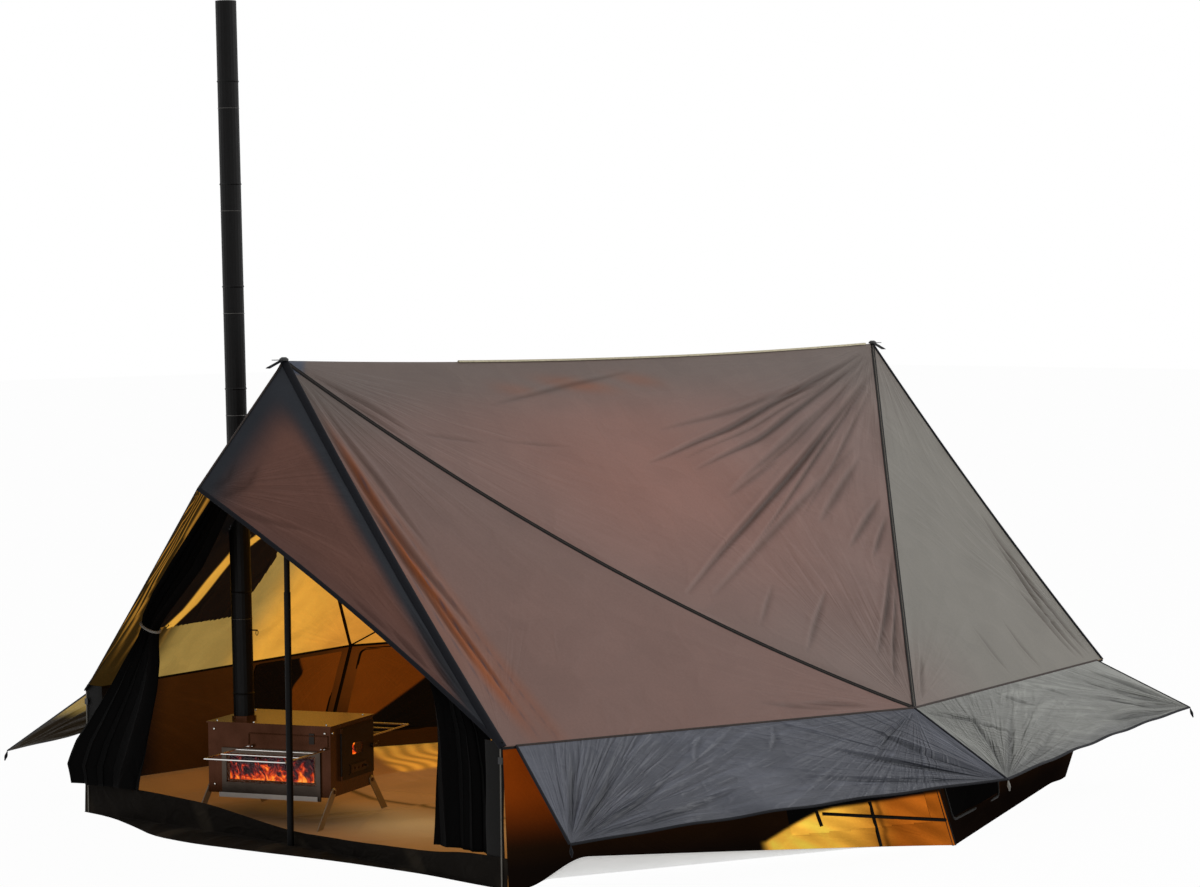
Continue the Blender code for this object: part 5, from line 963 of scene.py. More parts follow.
def litGold(points, waver):
    # Gold near the front of the lit stretch, orange towards the middle corner, in uneven bands.
    gold = mixTint(spread(clothPaint["orangeInside"] * 2.2, points), clothPaint["litFloor"] * 1.1,
                   smooth(-0.22, -0.60, points[:, 1]))
    return gold * (1 + waver)[:, None]


def wallTint(points, side, end):
    p = clothPaint
    y, z = points[:, 1], points[:, 2]
    share = smooth(0.14, 0.40, z) * smooth(0.9, 1.7, -y)
    tint = mixTint(spread(p["wallLow"], points), p["wallOut"], share)
    dark = smooth(0.16, 0.06, z) * 0.7 + (0.3 if end > 0 else 0) * smooth(0.16, 0.3, z)
    tint = mixTint(tint, p["black"] * 0.5, dark)
    if side > 0 and end < 0:
        waver = 0.25 * np.sin(31 * y + 60 * z) * np.sin(17 * y)
        tint = mixTint(tint, litGold(points, waver), litShare(points))
    return tint


def wallInside(points):
    # Brown and darker towards the ground, orange towards the rear, black beside the curtains.
    p = clothPaint
    y, z = points[:, 1], points[:, 2]
    tint = mixTint(spread(p["brownInside"] * 0.3, points), p["brownInside"] * 0.55, smooth(0.1, 0.4, z))
    tint = mixTint(tint, p["orangeInside"], smooth(-0.3, 0.6, y) * smooth(0.05, 0.4, z))
    return mixTint(tint, p["black"] * 0.4, smooth(-1.30, -1.55, y))


def windowTint(points, hand, spot):
    # The lit floor shows gold through the right front net; covers hang in front of the two left ones.
    p = clothPaint
    y, z = points[:, 1], points[:, 2]
    if hand == "right":
        lit = litShare(points) if spot == "front" else np.zeros(len(points))
        return mixTint(spread(p["black"] * 0.4, points), litGold(points, 0.2 * np.sin(31 * y + 60 * z)), lit)
    if spot == "front":
        cover = smooth(-0.005, 0.005, y + 0.385 + 0.02 * np.sin(24 * z) + 0.012 * np.sin(51 * z + 1))
    else:
        cover = smooth(0.01, -0.01, y - 0.58 + 1.25 * (0.51 - z) - 0.05 * np.sin(5 * z))
    return mixTint(spread(p["black"] * 0.3, points), p["orangeInside"] * 0.75, cover)


def addWalls():
    for side, hand in ((1, "right"), (-1, "left")):
        for end, spot in ((-1, "front"), (1, "rear")):
            u, v, faces = quadGrid(*wall["litGrid" if side > 0 and end < 0 else "grid"])
            points, corners, outward = wallSurface(side, end, u, v)
            folds = (
                {"start": corners[0], "towards": corners[2], "spread": 0.8, "folds": 26, "depth": 0.008,
                 "reach": 0.35, "seed": 51},
                {"start": corners[2], "towards": corners[0], "spread": 0.6, "folds": 30, "depth": 0.008,
                 "reach": 0.4, "seed": 52},
            )
            fans = (
                {"start": corners[0], "towards": corners[2], "spread": 0.9, "share": 0.7, "reach": 0.4,
                 "seed": 4},
                {"start": corners[2], "towards": corners[0], "spread": 0.9, "share": 0.7, "reach": 0.4,
                 "seed": 11},
                {"start": corners[1], "towards": corners[3], "spread": 0.9, "share": 0.7, "reach": 0.4,
                 "seed": 19},
            )
            height = (sum(fanFolds(points, outward, fold) for fold in folds)
                      + slackness(points, outward, 0.005, 0.35, 53))
            mask = smooth(0, 0.1, v) * smooth(0, 0.12, 1 - v) * smooth(0, 0.03, u) * smooth(0, 0.03, 1 - u)
            fields = [fanField(points, outward, fan) for fan in fans]
            points = points + outward * (height * mask)[:, None]
            faces = facing(points, faces, outward)
            window = inWindow(points[faces].mean(axis=1))
            uv = np.stack([u * 1.95, v * 0.56], axis=1)
            tints = {"tint": wallTint(points, side, end), "tintInside": wallInside(points)}
            item = addPiece(f"cloth_wall_{hand}_{spot}", points, faces[~window], [wallOut, wallIn],
                            replaced=(f"wall_{hand}_{spot}",), uv=uv, tints=tints,
                            thickness=clothThickness, fans=fields)
            areaOf(points, faces[~window])
            pane = inWindow(points[faces].mean(axis=1), 0.012)
            tint = windowTint(points, hand, spot)
            net = addPiece(f"cloth_window_{hand}_{spot}", points - outward * 0.002, faces[pane],
                           [netCloth, netInside], replaced=(f"window_{hand}_{spot}",), uv=uv,
                           thickness=0.0006, fans=fields, tints={"tint": tint, "tintInside": tint})
            areaOf(points, faces[pane])


netCloth = clothMaterial("window_net", roughness=0.7, threads=1200.0, crumple=0.15, weave=0.3, glow=0.8,
                         sheen=0.0, shine=0.0)
netInside = clothMaterial("window_net_inside", roughness=0.7, threads=1200.0, crumple=0.15, weave=0.3,
                          glow=0.6, tint="tintInside", sheen=0.0, shine=0.1)
addWalls()
print("walls made")


# Door sill, a black strip whose foot turns out over the ground
sill = {"bow": 0.075, "half": 1.359, "columns": 260, "rows": 40,
        "tops": ((-1.36, 0.135), (-0.95, 0.135), (-0.55, 0.117), (-0.20, 0.075), (0.00, 0.057), (0.40, 0.065),
                 (0.90, 0.090), (1.15, 0.120), (1.36, 0.120)),
        "flaps": ((-1.36, 0.003), (-1.15, 0.02), (-0.90, 0.11), (-0.62, 0.23), (-0.35, 0.25), (0.00, 0.20),
                  (0.45, 0.10), (0.90, 0.02), (1.36, 0.003))}


def sillLine(x):
    # The doorway's line on the ground, bowed inwards in the middle.
    share = np.clip(np.abs(x) / sill["half"], 0, 1)
    return -(tent["halfLength"] + 0.0019) + sill["bow"] * (1 - share ** 2) ** 2


def eased(table, x):
    # A table read three times, a little to each side, and averaged.
    places, sizes = np.array(table).T
    return sum(np.interp(x + shift * sill["bow"], places, sizes) for shift in (-1, 0, 1)) / 3


def addSill():
    # From the flap's front edge (v = 0) over the ground, round the bend at v = 0.45, up to the top (v = 1).
    u, v, faces = quadGrid(sill["columns"], sill["rows"])
    x = (2 * u - 1) * sill["half"]
    front, top, flap = sillLine(x), eased(sill["tops"], x), eased(sill["flaps"], x)
    lying, rising = np.clip(v / 0.45, 0, 1), np.clip((v - 0.45) / 0.55, 0, 1)
    y = front - flap * (1 - lying)
    z = 0.0022 + rising * (top - 0.0022)
    wave = 0.5 * np.sin(9 * x + 1) + 0.3 * np.sin(23 * x + 2.2) + 0.2 * np.sin(41 * x + 0.4 + 9 * v)
    ridge = 1 - np.abs(np.sin(15 * x + 2 * np.sin(3 * x) + 3 * v))
    z = z + (0.004 * (wave + 1) + 0.006 * ridge ** 2) * np.sin(np.pi * lying) * smooth(0.02, 0.1, flap)
    y = y + 0.006 * wave * np.sin(np.pi * rising) ** 0.8
    points = np.stack([x, y, z], axis=1)
    faces = facing(points, faces, np.array([0, -1.0, 1.0]))
    # Painted highlight: lighter on the raised waves.
    tint = mixTint(spread(paint(29, 26, 23), points), paint(60, 54, 46), smooth(0.2, 0.9, wave) * 0.6)
    item = addPiece("cloth_front_sill", points, faces, [blackCloth], replaced=("front_sill",),
                    uv=np.stack([x, v * 0.3], axis=1), tints={"tint": tint}, thickness=clothThickness)
    area = areaOf(points, faces)


addSill()


# Curtains tied back beside the doorway: rows of height, distance from the middle, distance behind the front
# edge, half-width, half-depth and turn
curtains = {
    "left": {"side": -1, "folds": 3.3, "rows": (
        (1.700, 0.166, 0.036, 0.030, 0.014, 0.00), (1.550, 0.284, 0.034, 0.046, 0.019, 0.00),
        (1.400, 0.408, 0.032, 0.060, 0.023, 0.00), (1.250, 0.535, 0.030, 0.076, 0.025, 0.00),
        (1.120, 0.650, 0.028, 0.088, 0.026, 0.00), (1.000, 0.775, 0.026, 0.082, 0.026, 0.00),
        (0.900, 0.868, 0.024, 0.060, 0.026, 0.00), (0.848, 0.895, 0.022, 0.044, 0.026, 0.00),
        (0.800, 0.912, 0.020, 0.058, 0.027, 0.00), (0.700, 0.950, 0.012, 0.105, 0.026, 0.04),
        (0.580, 0.995, -0.004, 0.145, 0.024, 0.08), (0.460, 1.050, -0.022, 0.185, 0.022, 0.12),
        (0.330, 1.120, -0.034, 0.215, 0.022, 0.16), (0.220, 1.170, -0.036, 0.225, 0.022, 0.18),
        (0.136, 1.175, -0.030, 0.210, 0.022, 0.18))},
    "right": {"side": 1, "folds": 3.7, "rows": (
        (1.700, 0.166, 0.036, 0.030, 0.014, 0.00), (1.550, 0.284, 0.034, 0.046, 0.019, 0.00),
        (1.400, 0.408, 0.032, 0.060, 0.023, 0.00), (1.250, 0.535, 0.030, 0.074, 0.025, 0.00),
        (1.120, 0.655, 0.028, 0.076, 0.026, 0.00), (1.020, 0.768, 0.027, 0.068, 0.027, 0.00),
        (0.940, 0.852, 0.026, 0.064, 0.028, 0.00), (0.860, 0.930, 0.025, 0.078, 0.027, 0.00),
        (0.780, 0.990, 0.024, 0.095, 0.026, 0.00), (0.690, 1.040, 0.024, 0.120, 0.026, 0.00),
        (0.580, 1.078, 0.024, 0.152, 0.026, 0.00), (0.450, 1.094, 0.024, 0.170, 0.026, 0.00),
        (0.300, 1.097, 0.024, 0.178, 0.026, 0.00), (0.120, 1.097, 0.024, 0.184, 0.026, 0.00))},
}


def addCurtain(name, facts):
    # Each row is a wave from edge to edge, whose crests swing through its depth and drift on the way down.
    u, v, faces = quadGrid(240, 170)
    table = np.array(facts["rows"])
    step = np.linspace(0, 1, len(table))
    height, across, behind, halfWidth, halfDepth, turn = (np.interp(v, step, table[:, k]) for k in range(6))
    share = 2 * u - 1
    phase = (2 * np.pi * facts["folds"] * (u + 0.06 * np.sin(7 * u + 2 * v)) + 1.6 * np.sin(2.5 * v)
             + 2.2 * v * share)
    wave = np.sin(phase) * (0.55 + 0.25 * np.sin(5 * u + 2.2)) + 0.3 * np.sin(0.43 * phase + 3 * v + 1)
    x = (share * halfWidth * (1 + 0.02 * np.sin(30 * v)) + 0.15 * halfWidth / facts["folds"]
         * np.sin(2 * phase))
    y = halfDepth * wave * 0.95
    points = np.stack([(across + x * np.cos(turn) - y * np.sin(turn)) * facts["side"],
                       -tent["halfLength"] + behind - x * np.sin(turn) + y * np.cos(turn), height], axis=1)
    faces = facing(points, faces, np.array([0, -1.0, 0]))
    # Painted highlight: lighter where the folds bulge towards the front.
    tint = mixTint(spread(clothPaint["black"] * 0.4, points), clothPaint["black"] * 1.3,
                   smooth(0.2, 1.0, -wave) * 0.8)
    item = addPiece(f"cloth_{name}", points, faces, [blackCloth], replaced=(name,),
                    uv=np.stack([u * 0.8, v * 1.6], axis=1), tints={"tint": tint}, thickness=0.0010)
    area = areaOf(points, faces)


for hand, facts in curtains.items():
    addCurtain(f"curtain_{hand}", facts)
print("sill and curtains made")


# Groundsheet
sheet = {"thickness": 0.003, "flatShare": 0.93, "inset": 0.0024 * 1.2,
         "matLine": ((-1.2, -0.66, 0.4), (-0.64, -0.83, -0.78))}
tanCloth = clothMaterial("groundsheet_cloth", roughness=0.5, crumple=0.5, size=2.2, variation=0.14,
                         coat=0.15, glow=0.35)
# Its white emission is painted light that brightens the shaded underside.
sheetBack = solidMaterial("groundsheet_back", paint(240, 240, 238), roughness=0.8, stretch=(4.0, 4.0, 4.0),
                          variation=0.03, Emission_Color=(1.0, 1.0, 1.0, 1.0), Emission_Strength=0.3)


def wallFeet(passes):
    # Places a little inside the walls' lower edges, one array for each wall.
    for side, end, stations in passes:
        points, _, outward = wallSurface(side, end, stations, np.ones_like(stations))
        yield points - outward * sheet["inset"]


def addGroundsheet():
    # Rings shrink from the walls' feet to the middle, with long low creases between them. The mat, with a
    # painted shadow along its edge, and painted light and shade are in its colour: a pool of light near the
    # doorway, the lit strip by the right wall, the shade under the stove and shade in the creases.
    away = np.linspace(0, 1, 60)
    x = np.linspace(-sill["half"], sill["half"], 160)
    y = np.maximum(sillLine(x) + 0.0019, 0.007 - tent["halfLength"])
    rear, _, outward = wallSurface(1, 1, away[:1], np.ones(1))
    rear = rear - outward * 0.003
    rear[:, 1] -= 0.007
    ring = np.vstack([
        np.stack([x, y, np.zeros_like(x)], axis=1), *wallFeet(((1, -1, away[1:]), (1, 1, 1 - away[1:-1]))),
        rear, rear * np.array([-1, 1, 1]), *wallFeet(((-1, 1, away[1:]), (-1, -1, 1 - away[1:-1])))])
    shrink = np.concatenate([[1.0, 0.985, 0.965, 0.945], np.linspace(sheet["flatShare"], 0.012, 90)])
    raised = ((shrink - sheet["flatShare"]) / 0.07).clip(0, 1)
    shares = np.stack([shrink, shrink, raised], axis=1)
    points = (np.maximum(ring, (-np.inf, -np.inf, 0)) * shares[:, None]).reshape(-1, 3)
    count = len(ring)
    i, j = np.meshgrid(np.arange(len(shrink) - 1), np.arange(count), indexing="ij")
    a, b = (i * count + j).ravel(), (i * count + (j + 1) % count).ravel()
    faces = np.stack([a, b, b + count, a + count], axis=1)
    inner = np.repeat(smooth(0.95, 0.88, shrink), count)
    seeded = np.random.default_rng(8)
    height = np.zeros(len(points))
    for _ in range(26):
        start = np.array([seeded.uniform(-1.2, 1.2), seeded.uniform(-1.7, 1.4), 0])
        angle = seeded.uniform(0, 3.14)
        stop = start + np.array([math.cos(angle), math.sin(angle), 0]) * seeded.uniform(0.3, 1.1)
        height += creaseField(points, -down, curveThrough((start, stop)), 0.018, 0.007)[1] * 0.007
    points[:, 2] += sheet["thickness"] + 0.0004 + height * inner
    faces = facing(points, faces, -down)
    p, x, y = clothPaint, points[:, 0], points[:, 1]
    # Painted light: a pool of light on the floor near the doorway.
    lit = np.exp(-((x + 0.05) / 0.5) ** 2 - ((y + 1.15) / 0.28) ** 2)
    tint = mixTint(spread(p["tan"], points), p["tanLit"], lit)
    past, within = y - np.interp(x, *sheet["matLine"]), smooth(-1.20, -1.16, x)
    tint = mixTint(tint, p["mat"], smooth(-0.012, 0.012, past) * within)
    # Painted shadow: a dark line along the mat's edge.
    tint = mixTint(tint, p["umber"] * 0.3, np.exp(-(past / 0.02) ** 2) * within * smooth(0.4, 0.2, x))
    # Painted lamp light: a golden striped strip by the wall.
    gold = smooth(-0.25, -0.15, y + 0.55 * (x + 1.2)) * smooth(-1.12, -1.22, x)
    stripes = 0.72 + 0.28 * np.sin(60 * y + 25 * x + 2 * np.sin(11 * x))
    tint = mixTint(tint, p["gold"] * 1.4 * stripes[:, None], gold)
    # Painted shade under the stove.
    under = np.exp(-((x + 0.62) / 0.42) ** 4 - ((y + 1.33) / 0.30) ** 4)
    tint = mixTint(tint, p["umber"] * 0.35, under * 0.75)
    # Painted shade: darker along the creases.
    tint = mixTint(tint, p["tan"] * 0.45, np.clip(height * 60, 0, 1) * 0.4)
    item = addPiece("cloth_groundsheet", points, faces, [tanCloth, sheetBack],
                    replaced=("groundsheet",), uv=points[:, :2].copy(), tints={"tint": tint},
                    thickness=sheet["thickness"])
    area = areaOf(points, faces)


addGroundsheet()


# Rear door panel, closed under the rear hood


def addRearDoor():
    # Rows from the apex down: as wide as the hood's sagging edges, then in to the walls' rear feet.
    u, v, faces = quadGrid(90, 90)
    p = cornerPoints(1, 1)
    upper = np.clip(v / 0.72, 0, 1)
    lower = np.clip((v - 0.72) / 0.28, 0, 1)
    edge = p["apex"] * (1 - upper[:, None]) + p["eave"] * upper[:, None]
    edge = edge + endSag(1) * (4 * upper * (1 - upper))[:, None]
    foot = p["foot"] - np.array([0.014, 0.014, 0])
    edge = edge * (1 - lower[:, None]) + foot * lower[:, None]
    half = np.maximum(edge[:, 0] - 0.016 - 0.016 * upper, 0.004)
    share = 2 * u - 1
    billow = 0.004 * np.sin(7 * share * half + 3 * v) * np.sin(np.pi * v) * (1 - share ** 2)
    points = np.stack([half * share, edge[:, 1] - 0.03 * (1 - lower) - 0.004 + billow, edge[:, 2]], axis=1)
    points[:, 2] = np.clip(points[:, 2], 0.0035, 1.955)
    faces = facing(points, faces, np.array([0, 1.0, 0]))
    tint = np.broadcast_to(clothPaint["brownInside"] * 0.7, points.shape)
    item = addPiece("cloth_rear_door", points, faces, [blackCloth], replaced=("rear_door",),
                    uv=np.stack([points[:, 0], points[:, 2]], axis=1), tints={"tint": tint},
                    thickness=clothThickness)
    areaOf(points, faces)


addRearDoor()
print("floor and rear door made")


# Stove jack, the heat-proof patch round the flue


def roofHeight(points):
    # Height of the left front roof panel over a place on the ground plan, and the way that it faces.
    p = cornerPoints(-1, -1)
    a, b, c = p["apex"], p["eave"], p["middle"]
    normal = np.cross(b - a, c - a)
    return a[2] - ((points - a[:2]) @ normal[:2]) / normal[2], unit(normal) * np.sign(normal[2])


def panelSag(points):
    # What that panel's two sagging edges add at each point, from its shares of the three corners.
    p = cornerPoints(-1, -1)
    a, b, c = p["apex"], p["eave"], p["middle"]
    flat = np.stack([b[:2] - a[:2], c[:2] - a[:2]], axis=1)
    share = (points[:, :2] - a[:2]) @ np.linalg.inv(flat).T
    s1, s2 = share[:, 0], share[:, 1]
    s0 = 1 - s1 - s2
    return 4 * (s2 * s0)[:, None] * down * tent["diagonalSag"] + 4 * (s0 * s1)[:, None] * endSag(-1)


def addJack():
    # A grid over the patch's outline, cut to it, with a raised collar round the flue.
    outline = jackOutline()
    low, high = outline.min(axis=0) - 0.01, outline.max(axis=0) + 0.01
    u, v, faces = quadGrid(120, 120)
    spot = low + np.stack([u, v], axis=1) * (high - low)
    z, normal = roofHeight(spot)
    points = np.column_stack([spot, z])
    axis = flue["foot"] + flue["lean"] * 1.1
    gap = np.linalg.norm(points[:, :2] - axis, axis=1)
    height = 0.004 * np.exp(-((gap - 0.075) / 0.02) ** 2) + slackness(points, normal, 0.0015, 0.2, 9)
    points = points + normal * (height + 0.0022)[:, None] + panelSag(points)
    middles = points[faces].mean(axis=1)
    clear = np.linalg.norm(middles[:, :2] - axis, axis=1) > flue["radius"] + 0.001
    keep = insideOutline(middles, outline) & clear
    faces = facing(points, faces[keep], normal)
    black = spread(clothPaint["black"] * 0.6, points)
    x, y = points[:, 0], points[:, 1]
    # Painted lamp light: a golden strip and patch on the inner face.
    away = y - np.interp(x, (-1.16, -1.08, -0.92, -0.86), (-1.56, -1.49, -1.43, -1.40))
    strip = smooth(0.010, -0.004, away) * smooth(-0.085, -0.065, away) * smooth(-0.80, -0.83, x)
    patch = (smooth(0.03, 0.02, np.abs(x + 0.850 - 0.45 * (y + 1.37))) * smooth(-1.47, -1.44, y)
             * smooth(-1.27, -1.29, y))
    inner = mixTint(black, clothPaint["gold"], np.maximum(strip, patch))
    item = addPiece("cloth_stove_jack", points, faces, [blackCloth, roofIn],
                    replaced=("stove_jack",), uv=spot, tints={"tint": black, "tintInside": inner},
                    thickness=0.0055)
    areaOf(points, faces)


addJack()
print("jack made")


# Dark bindings and seams along the roof's edges
binding = {"edge": paint(20, 21, 26), "seam": paint(64, 56, 53), "inside": paint(9, 8, 7),
           "soft": paint(104, 97, 89), "line": paint(52, 45, 42), "ridgeHighlight": paint(205, 196, 168),
           "tie": paint(150, 148, 142)}


def tapeMaterial(name, colour):
    material, tree, shader = newMaterial(name)
    metres = place(tree, "UVMap", uv_map="cloth").outputs[0]
    threads = useGroup(tree, weaveGroup, Vector=metres, Threads=1900.0)
    tone = place(tree, "MapRange", {0: threads.outputs["Shade"], 1: 0.3, 2: 0.7, 3: 0.8, 4: 1.2})
    shade = place(tree, "VectorMath", {0: tuple(colour), "Scale": tone.outputs[0]}, operation="SCALE")
    tree.links.new(shade.outputs[0], shader.inputs["Base Color"])
    relief = place(tree, "Bump", {"Height": threads.outputs["Height"], "Strength": 0.3, "Distance": 0.0006})
    tree.links.new(relief.outputs[0], shader.inputs["Normal"])
    setPlain(shader, Roughness=0.6, Specular_IOR_Level=0.1)
    return material


edgeTape = tapeMaterial("edge_tape", binding["edge"])
seamTape = tapeMaterial("seam_tape", binding["seam"])
blackTape = tapeMaterial("black_tape", binding["inside"])
ridgeHighlightTape = tapeMaterial("painted_ridge_highlight_tape", binding["ridgeHighlight"])
softTape = tapeMaterial("soft_tape", binding["soft"])
lineTape = tapeMaterial("line_tape", binding["line"])
tieCord = tapeMaterial("tie_cord", binding["tie"])


def wallFacing(side, end):
    return wallSurface(side, end, np.zeros(1), np.zeros(1))[2]


def wallPlace(side, end, away, height):
    # A place on the wall, from its distance to the middle corner and its height.
    u = 1 - away / tent["halfLength"]
    upper, lower = (wallSurface(side, end, u, np.full_like(u, v))[0][:, 2] for v in (0.0, 1.0))
    return wallSurface(side, end, u, np.clip((upper - height) / (upper - lower), 0, 1))[0]


def windowLoop(side, end, grow):
    # A rounded frame round the window, each place found on the wall from its distance and its height.
    left, right = wall["windowStart"] - grow, wall["windowEnd"] + grow
    low, high = wall["windowSill"] - grow, tent["eave"] - wall["windowHead"] + grow
    bend, turn = 0.03, np.linspace(0, np.pi / 2, 8)
    corners = ((right - bend, high - bend, 0), (left + bend, high - bend, 1), (left + bend, low + bend, 2),
               (right - bend, low + bend, 3))
    rounded = [(a + bend * np.cos(turn + k * np.pi / 2), b + bend * np.sin(turn + k * np.pi / 2))
               for a, b, k in corners]
    flat = np.hstack(rounded).T
    flat = np.vstack([flat, flat[:1]])
    steps = np.concatenate([[0], np.cumsum(np.linalg.norm(np.diff(flat, axis=0), axis=1))])
    at = np.linspace(0, steps[-1], 160)
    return wallPlace(side, end, np.interp(at, steps, flat[:, 0]), np.interp(at, steps, flat[:, 1]))


def arc(first, last, bulge):
    # A straight line plus a parabola that is full in the middle.
    share = np.linspace(0, 1, 80)[:, None]
    return first * (1 - share) + last * share + 4 * share * (1 - share) * bulge


def addBindings():
    for side, hand in ((1, "right"), (-1, "left")):
        outward = np.array([side * 0.8, 0, 0.6])
        for end, spot in ((-1, "front"), (1, "rear")):
            p = cornerPoints(side, end)
            edge = arc(p["apex"], p["eave"], endSag(side))
            lean = unit(np.array([side * 0.62, end * 0.45, 0.64]))
            ribbon(f"binding_end_{hand}_{spot}", edge, lean, 0.034 if end < 0 else 0.024, 0.006, edgeTape)
            middle = arc(p["apex"], p["middle"], diagonalBulge(side, end))
            ribbon(f"seam_{hand}_{spot}", middle, outward, 0.0075 if end < 0 else 0.005, 0.0022,
                   lineTape if end < 0 else softTape)
            inward = np.array([-0.7 * side, 0, -0.5])
            ribbon(f"tape_diagonal_{hand}_{spot}", middle, inward, 0.020, 0.004, blackTape)
            ribbon(f"tape_eave_{hand}_{spot}", arc(p["eave"], p["middle"], np.zeros(3)) + down * 0.004,
                   inward, 0.014, 0.004, blackTape)
            if end < 0:
                edge = arc(p["middle"], p["middleFoot"], np.zeros(3)) + down * 0.003
                ribbon(f"tape_middle_{hand}", edge - np.array([0.003 * side, 0, 0]),
                       np.array([-side, 0, 0.0]), 0.024, 0.004, blackTape)
            if (side, end) != (1, -1):
                around = windowLoop(side, end, 0.010) + 0.001 * wallFacing(side, end)
                ribbon(f"window_frame_{hand}_{spot}", around, wallFacing(side, end), 0.012, 0.003, blackTape)
            corners = skirtCorners(side, end)
            ribbon(f"seam_eave_{hand}_{spot}", arc(corners[0], corners[1], np.zeros(3)), outward, 0.012,
                   0.003, seamTape)
            u = np.linspace(0, 1, 120)
            rim, _, top = skirtSurface(side, end, u, np.ones_like(u))
            ribbon(f"binding_skirt_{hand}_{spot}", rim, top, 0.013, 0.003, edgeTape)
            for k, label in ((0, "end"), (1, "middle")):
                if end > 0 and k == 1:
                    continue
                v = np.linspace(0, 1, 40)
                rim, _, top = skirtSurface(side, end, np.full(40, float(k)), v)
                ribbon(f"binding_skirt_{label}_{hand}_{spot}", rim, top, 0.013, 0.003, edgeTape)
            bulge, normal = hoodEdgeBulge(p, side, end)
            front = normal * np.sign(normal @ np.array([side * 0.3, end, 0.5]))
            ribbon(f"binding_hood_{spot}_{hand}", arc(p["tip"], p["eave"], bulge), front, 0.018, 0.003,
                   edgeTape)
            if side > 0:
                ribbon(f"seam_hood_{spot}", arc(p["apex"], p["tip"], np.zeros(3)),
                       np.array([0, end * 0.7, 0.7]), 0.010, 0.002, seamTape)


addBindings()


# The right front window's straps: ends as distance from the middle corner and height, then width
windowStraps = {
    "across": ((0.56, 0.172), (0.01, 0.100), 0.013), "down": ((0.335, 0.20), (0.335, 0.012), 0.012),
    "hook": ((0.585, 0.19), (0.575, 0.125), 0.012)}


def addStraps():
    # The straps over the lit window, and a wide black tape beside each curtain.
    for label, (first, last, width) in windowStraps.items():
        share = np.linspace(0, 1, 50)
        away, height = (first[k] + (last[k] - first[k]) * share for k in (0, 1))
        path = wallPlace(1, -1, away, height) + 0.006 * wallFacing(1, -1)
        ribbon(f"window_strap_{label}", path, wallFacing(1, -1), width, 0.003, blackTape,
               back=0.007)
    for side, hand, width, low in ((1, "right", 0.100, 0.10), (-1, "left", 0.110, 0.125)):
        x = (tent["endHalfWidth"] - width / 2 - 0.002) * side
        z = np.linspace(tent["eave"] + 0.02, low, 40)
        y = 0.004 - tent["halfLength"] + 0.002 * np.sin(19 * z)
        path = np.stack([np.full_like(z, x), y, z], axis=1)
        ribbon(f"door_edge_{hand}", path, np.array([0, -1.0, 0]), width, 0.003, blackTape)


def addJackBinding():
    # A tape sewn over the cut edge of the patch.
    outline = jackOutline()
    closed = np.vstack([outline, outline[:1]])
    share = np.linspace(0, len(outline), 40 * len(outline) + 1)
    spot = np.stack([np.interp(share, np.arange(len(closed)), closed[:, k]) for k in (0, 1)], axis=1)
    z, normal = roofHeight(spot)
    path = np.column_stack([spot, z])
    path = path + normal * 0.004 + panelSag(path)
    ribbon("jack_binding", path, normal, 0.020, 0.005, blackTape, back=0.004)


def addTrim():
    # A pale ribbon along the ridge as a painted highlight, apex tabs, the tie round the left curtain and the
    # small hooks at the skirts' corners.
    # Painted highlight: a pale cream ribbon along the ridge.
    share = np.linspace(0.26, 0.985, 160)[:, None]
    first, last = cornerPoints(1, -1)["apex"], cornerPoints(1, 1)["apex"]
    ridge = first * (1 - share) + last * share + 4 * share * (1 - share) * down * tent["ridgeSag"]
    ribbon("ridge_highlight_ribbon", ridge, np.array([0, 0, 1.0]), 0.014, 0.007, ridgeHighlightTape)
    for end, spot in ((-1, "front"), (1, "rear")):
        apex = cornerPoints(1, end)["apex"]
        reach = np.linspace(0, 1, 12)[:, None]
        tab = apex + reach * np.array([0, 0.085 * end, -0.035]) + np.array([0, 0, 0.006])
        ribbon(f"apex_tab_{spot}", tab, np.array([0, 0.3 * end, 1.0]), 0.026, 0.004, edgeTape)
    turn = np.linspace(0, 2 * np.pi, 40)
    tie = np.stack([-0.895 + 0.050 * np.cos(turn), 0.022 - tent["halfLength"] + 0.034 * np.sin(turn),
                    0.848 - 0.020 * np.cos(turn)], axis=1)
    points, faces = tubePoints(tie, 0.006, 10)
    addPiece("curtain_tie_left", points, faces, [tieCord], uv=points[:, :2].copy())
    for side, hand in ((1, "right"), (-1, "left")):
        for end, spot in ((-1, "front"), (1, "rear")):
            corners = skirtCorners(side, end)
            for tip, label in ((corners[3], "end"), (corners[2], "middle")):
                if label == "middle" and end > 0:
                    continue
                drop = np.linspace(0, 1, 14)[:, None]
                hook = (tip + np.array([0.004 * side, 0, -0.006])
                        + drop * np.array([0.012 * side, 0.006 * end, -0.040]))
                points, faces = tubePoints(hook, 0.003 + 0.004 * np.sin(np.pi * drop[:, 0]) ** 2, 10)
                cord = tieCord if label == "middle" else edgeTape
                addPiece(f"hook_{label}_{hand}_{spot}", points, faces, [cord],
                         uv=points[:, :2].copy())


addTrim()
addStraps()
addJackBinding()
print("bindings made")


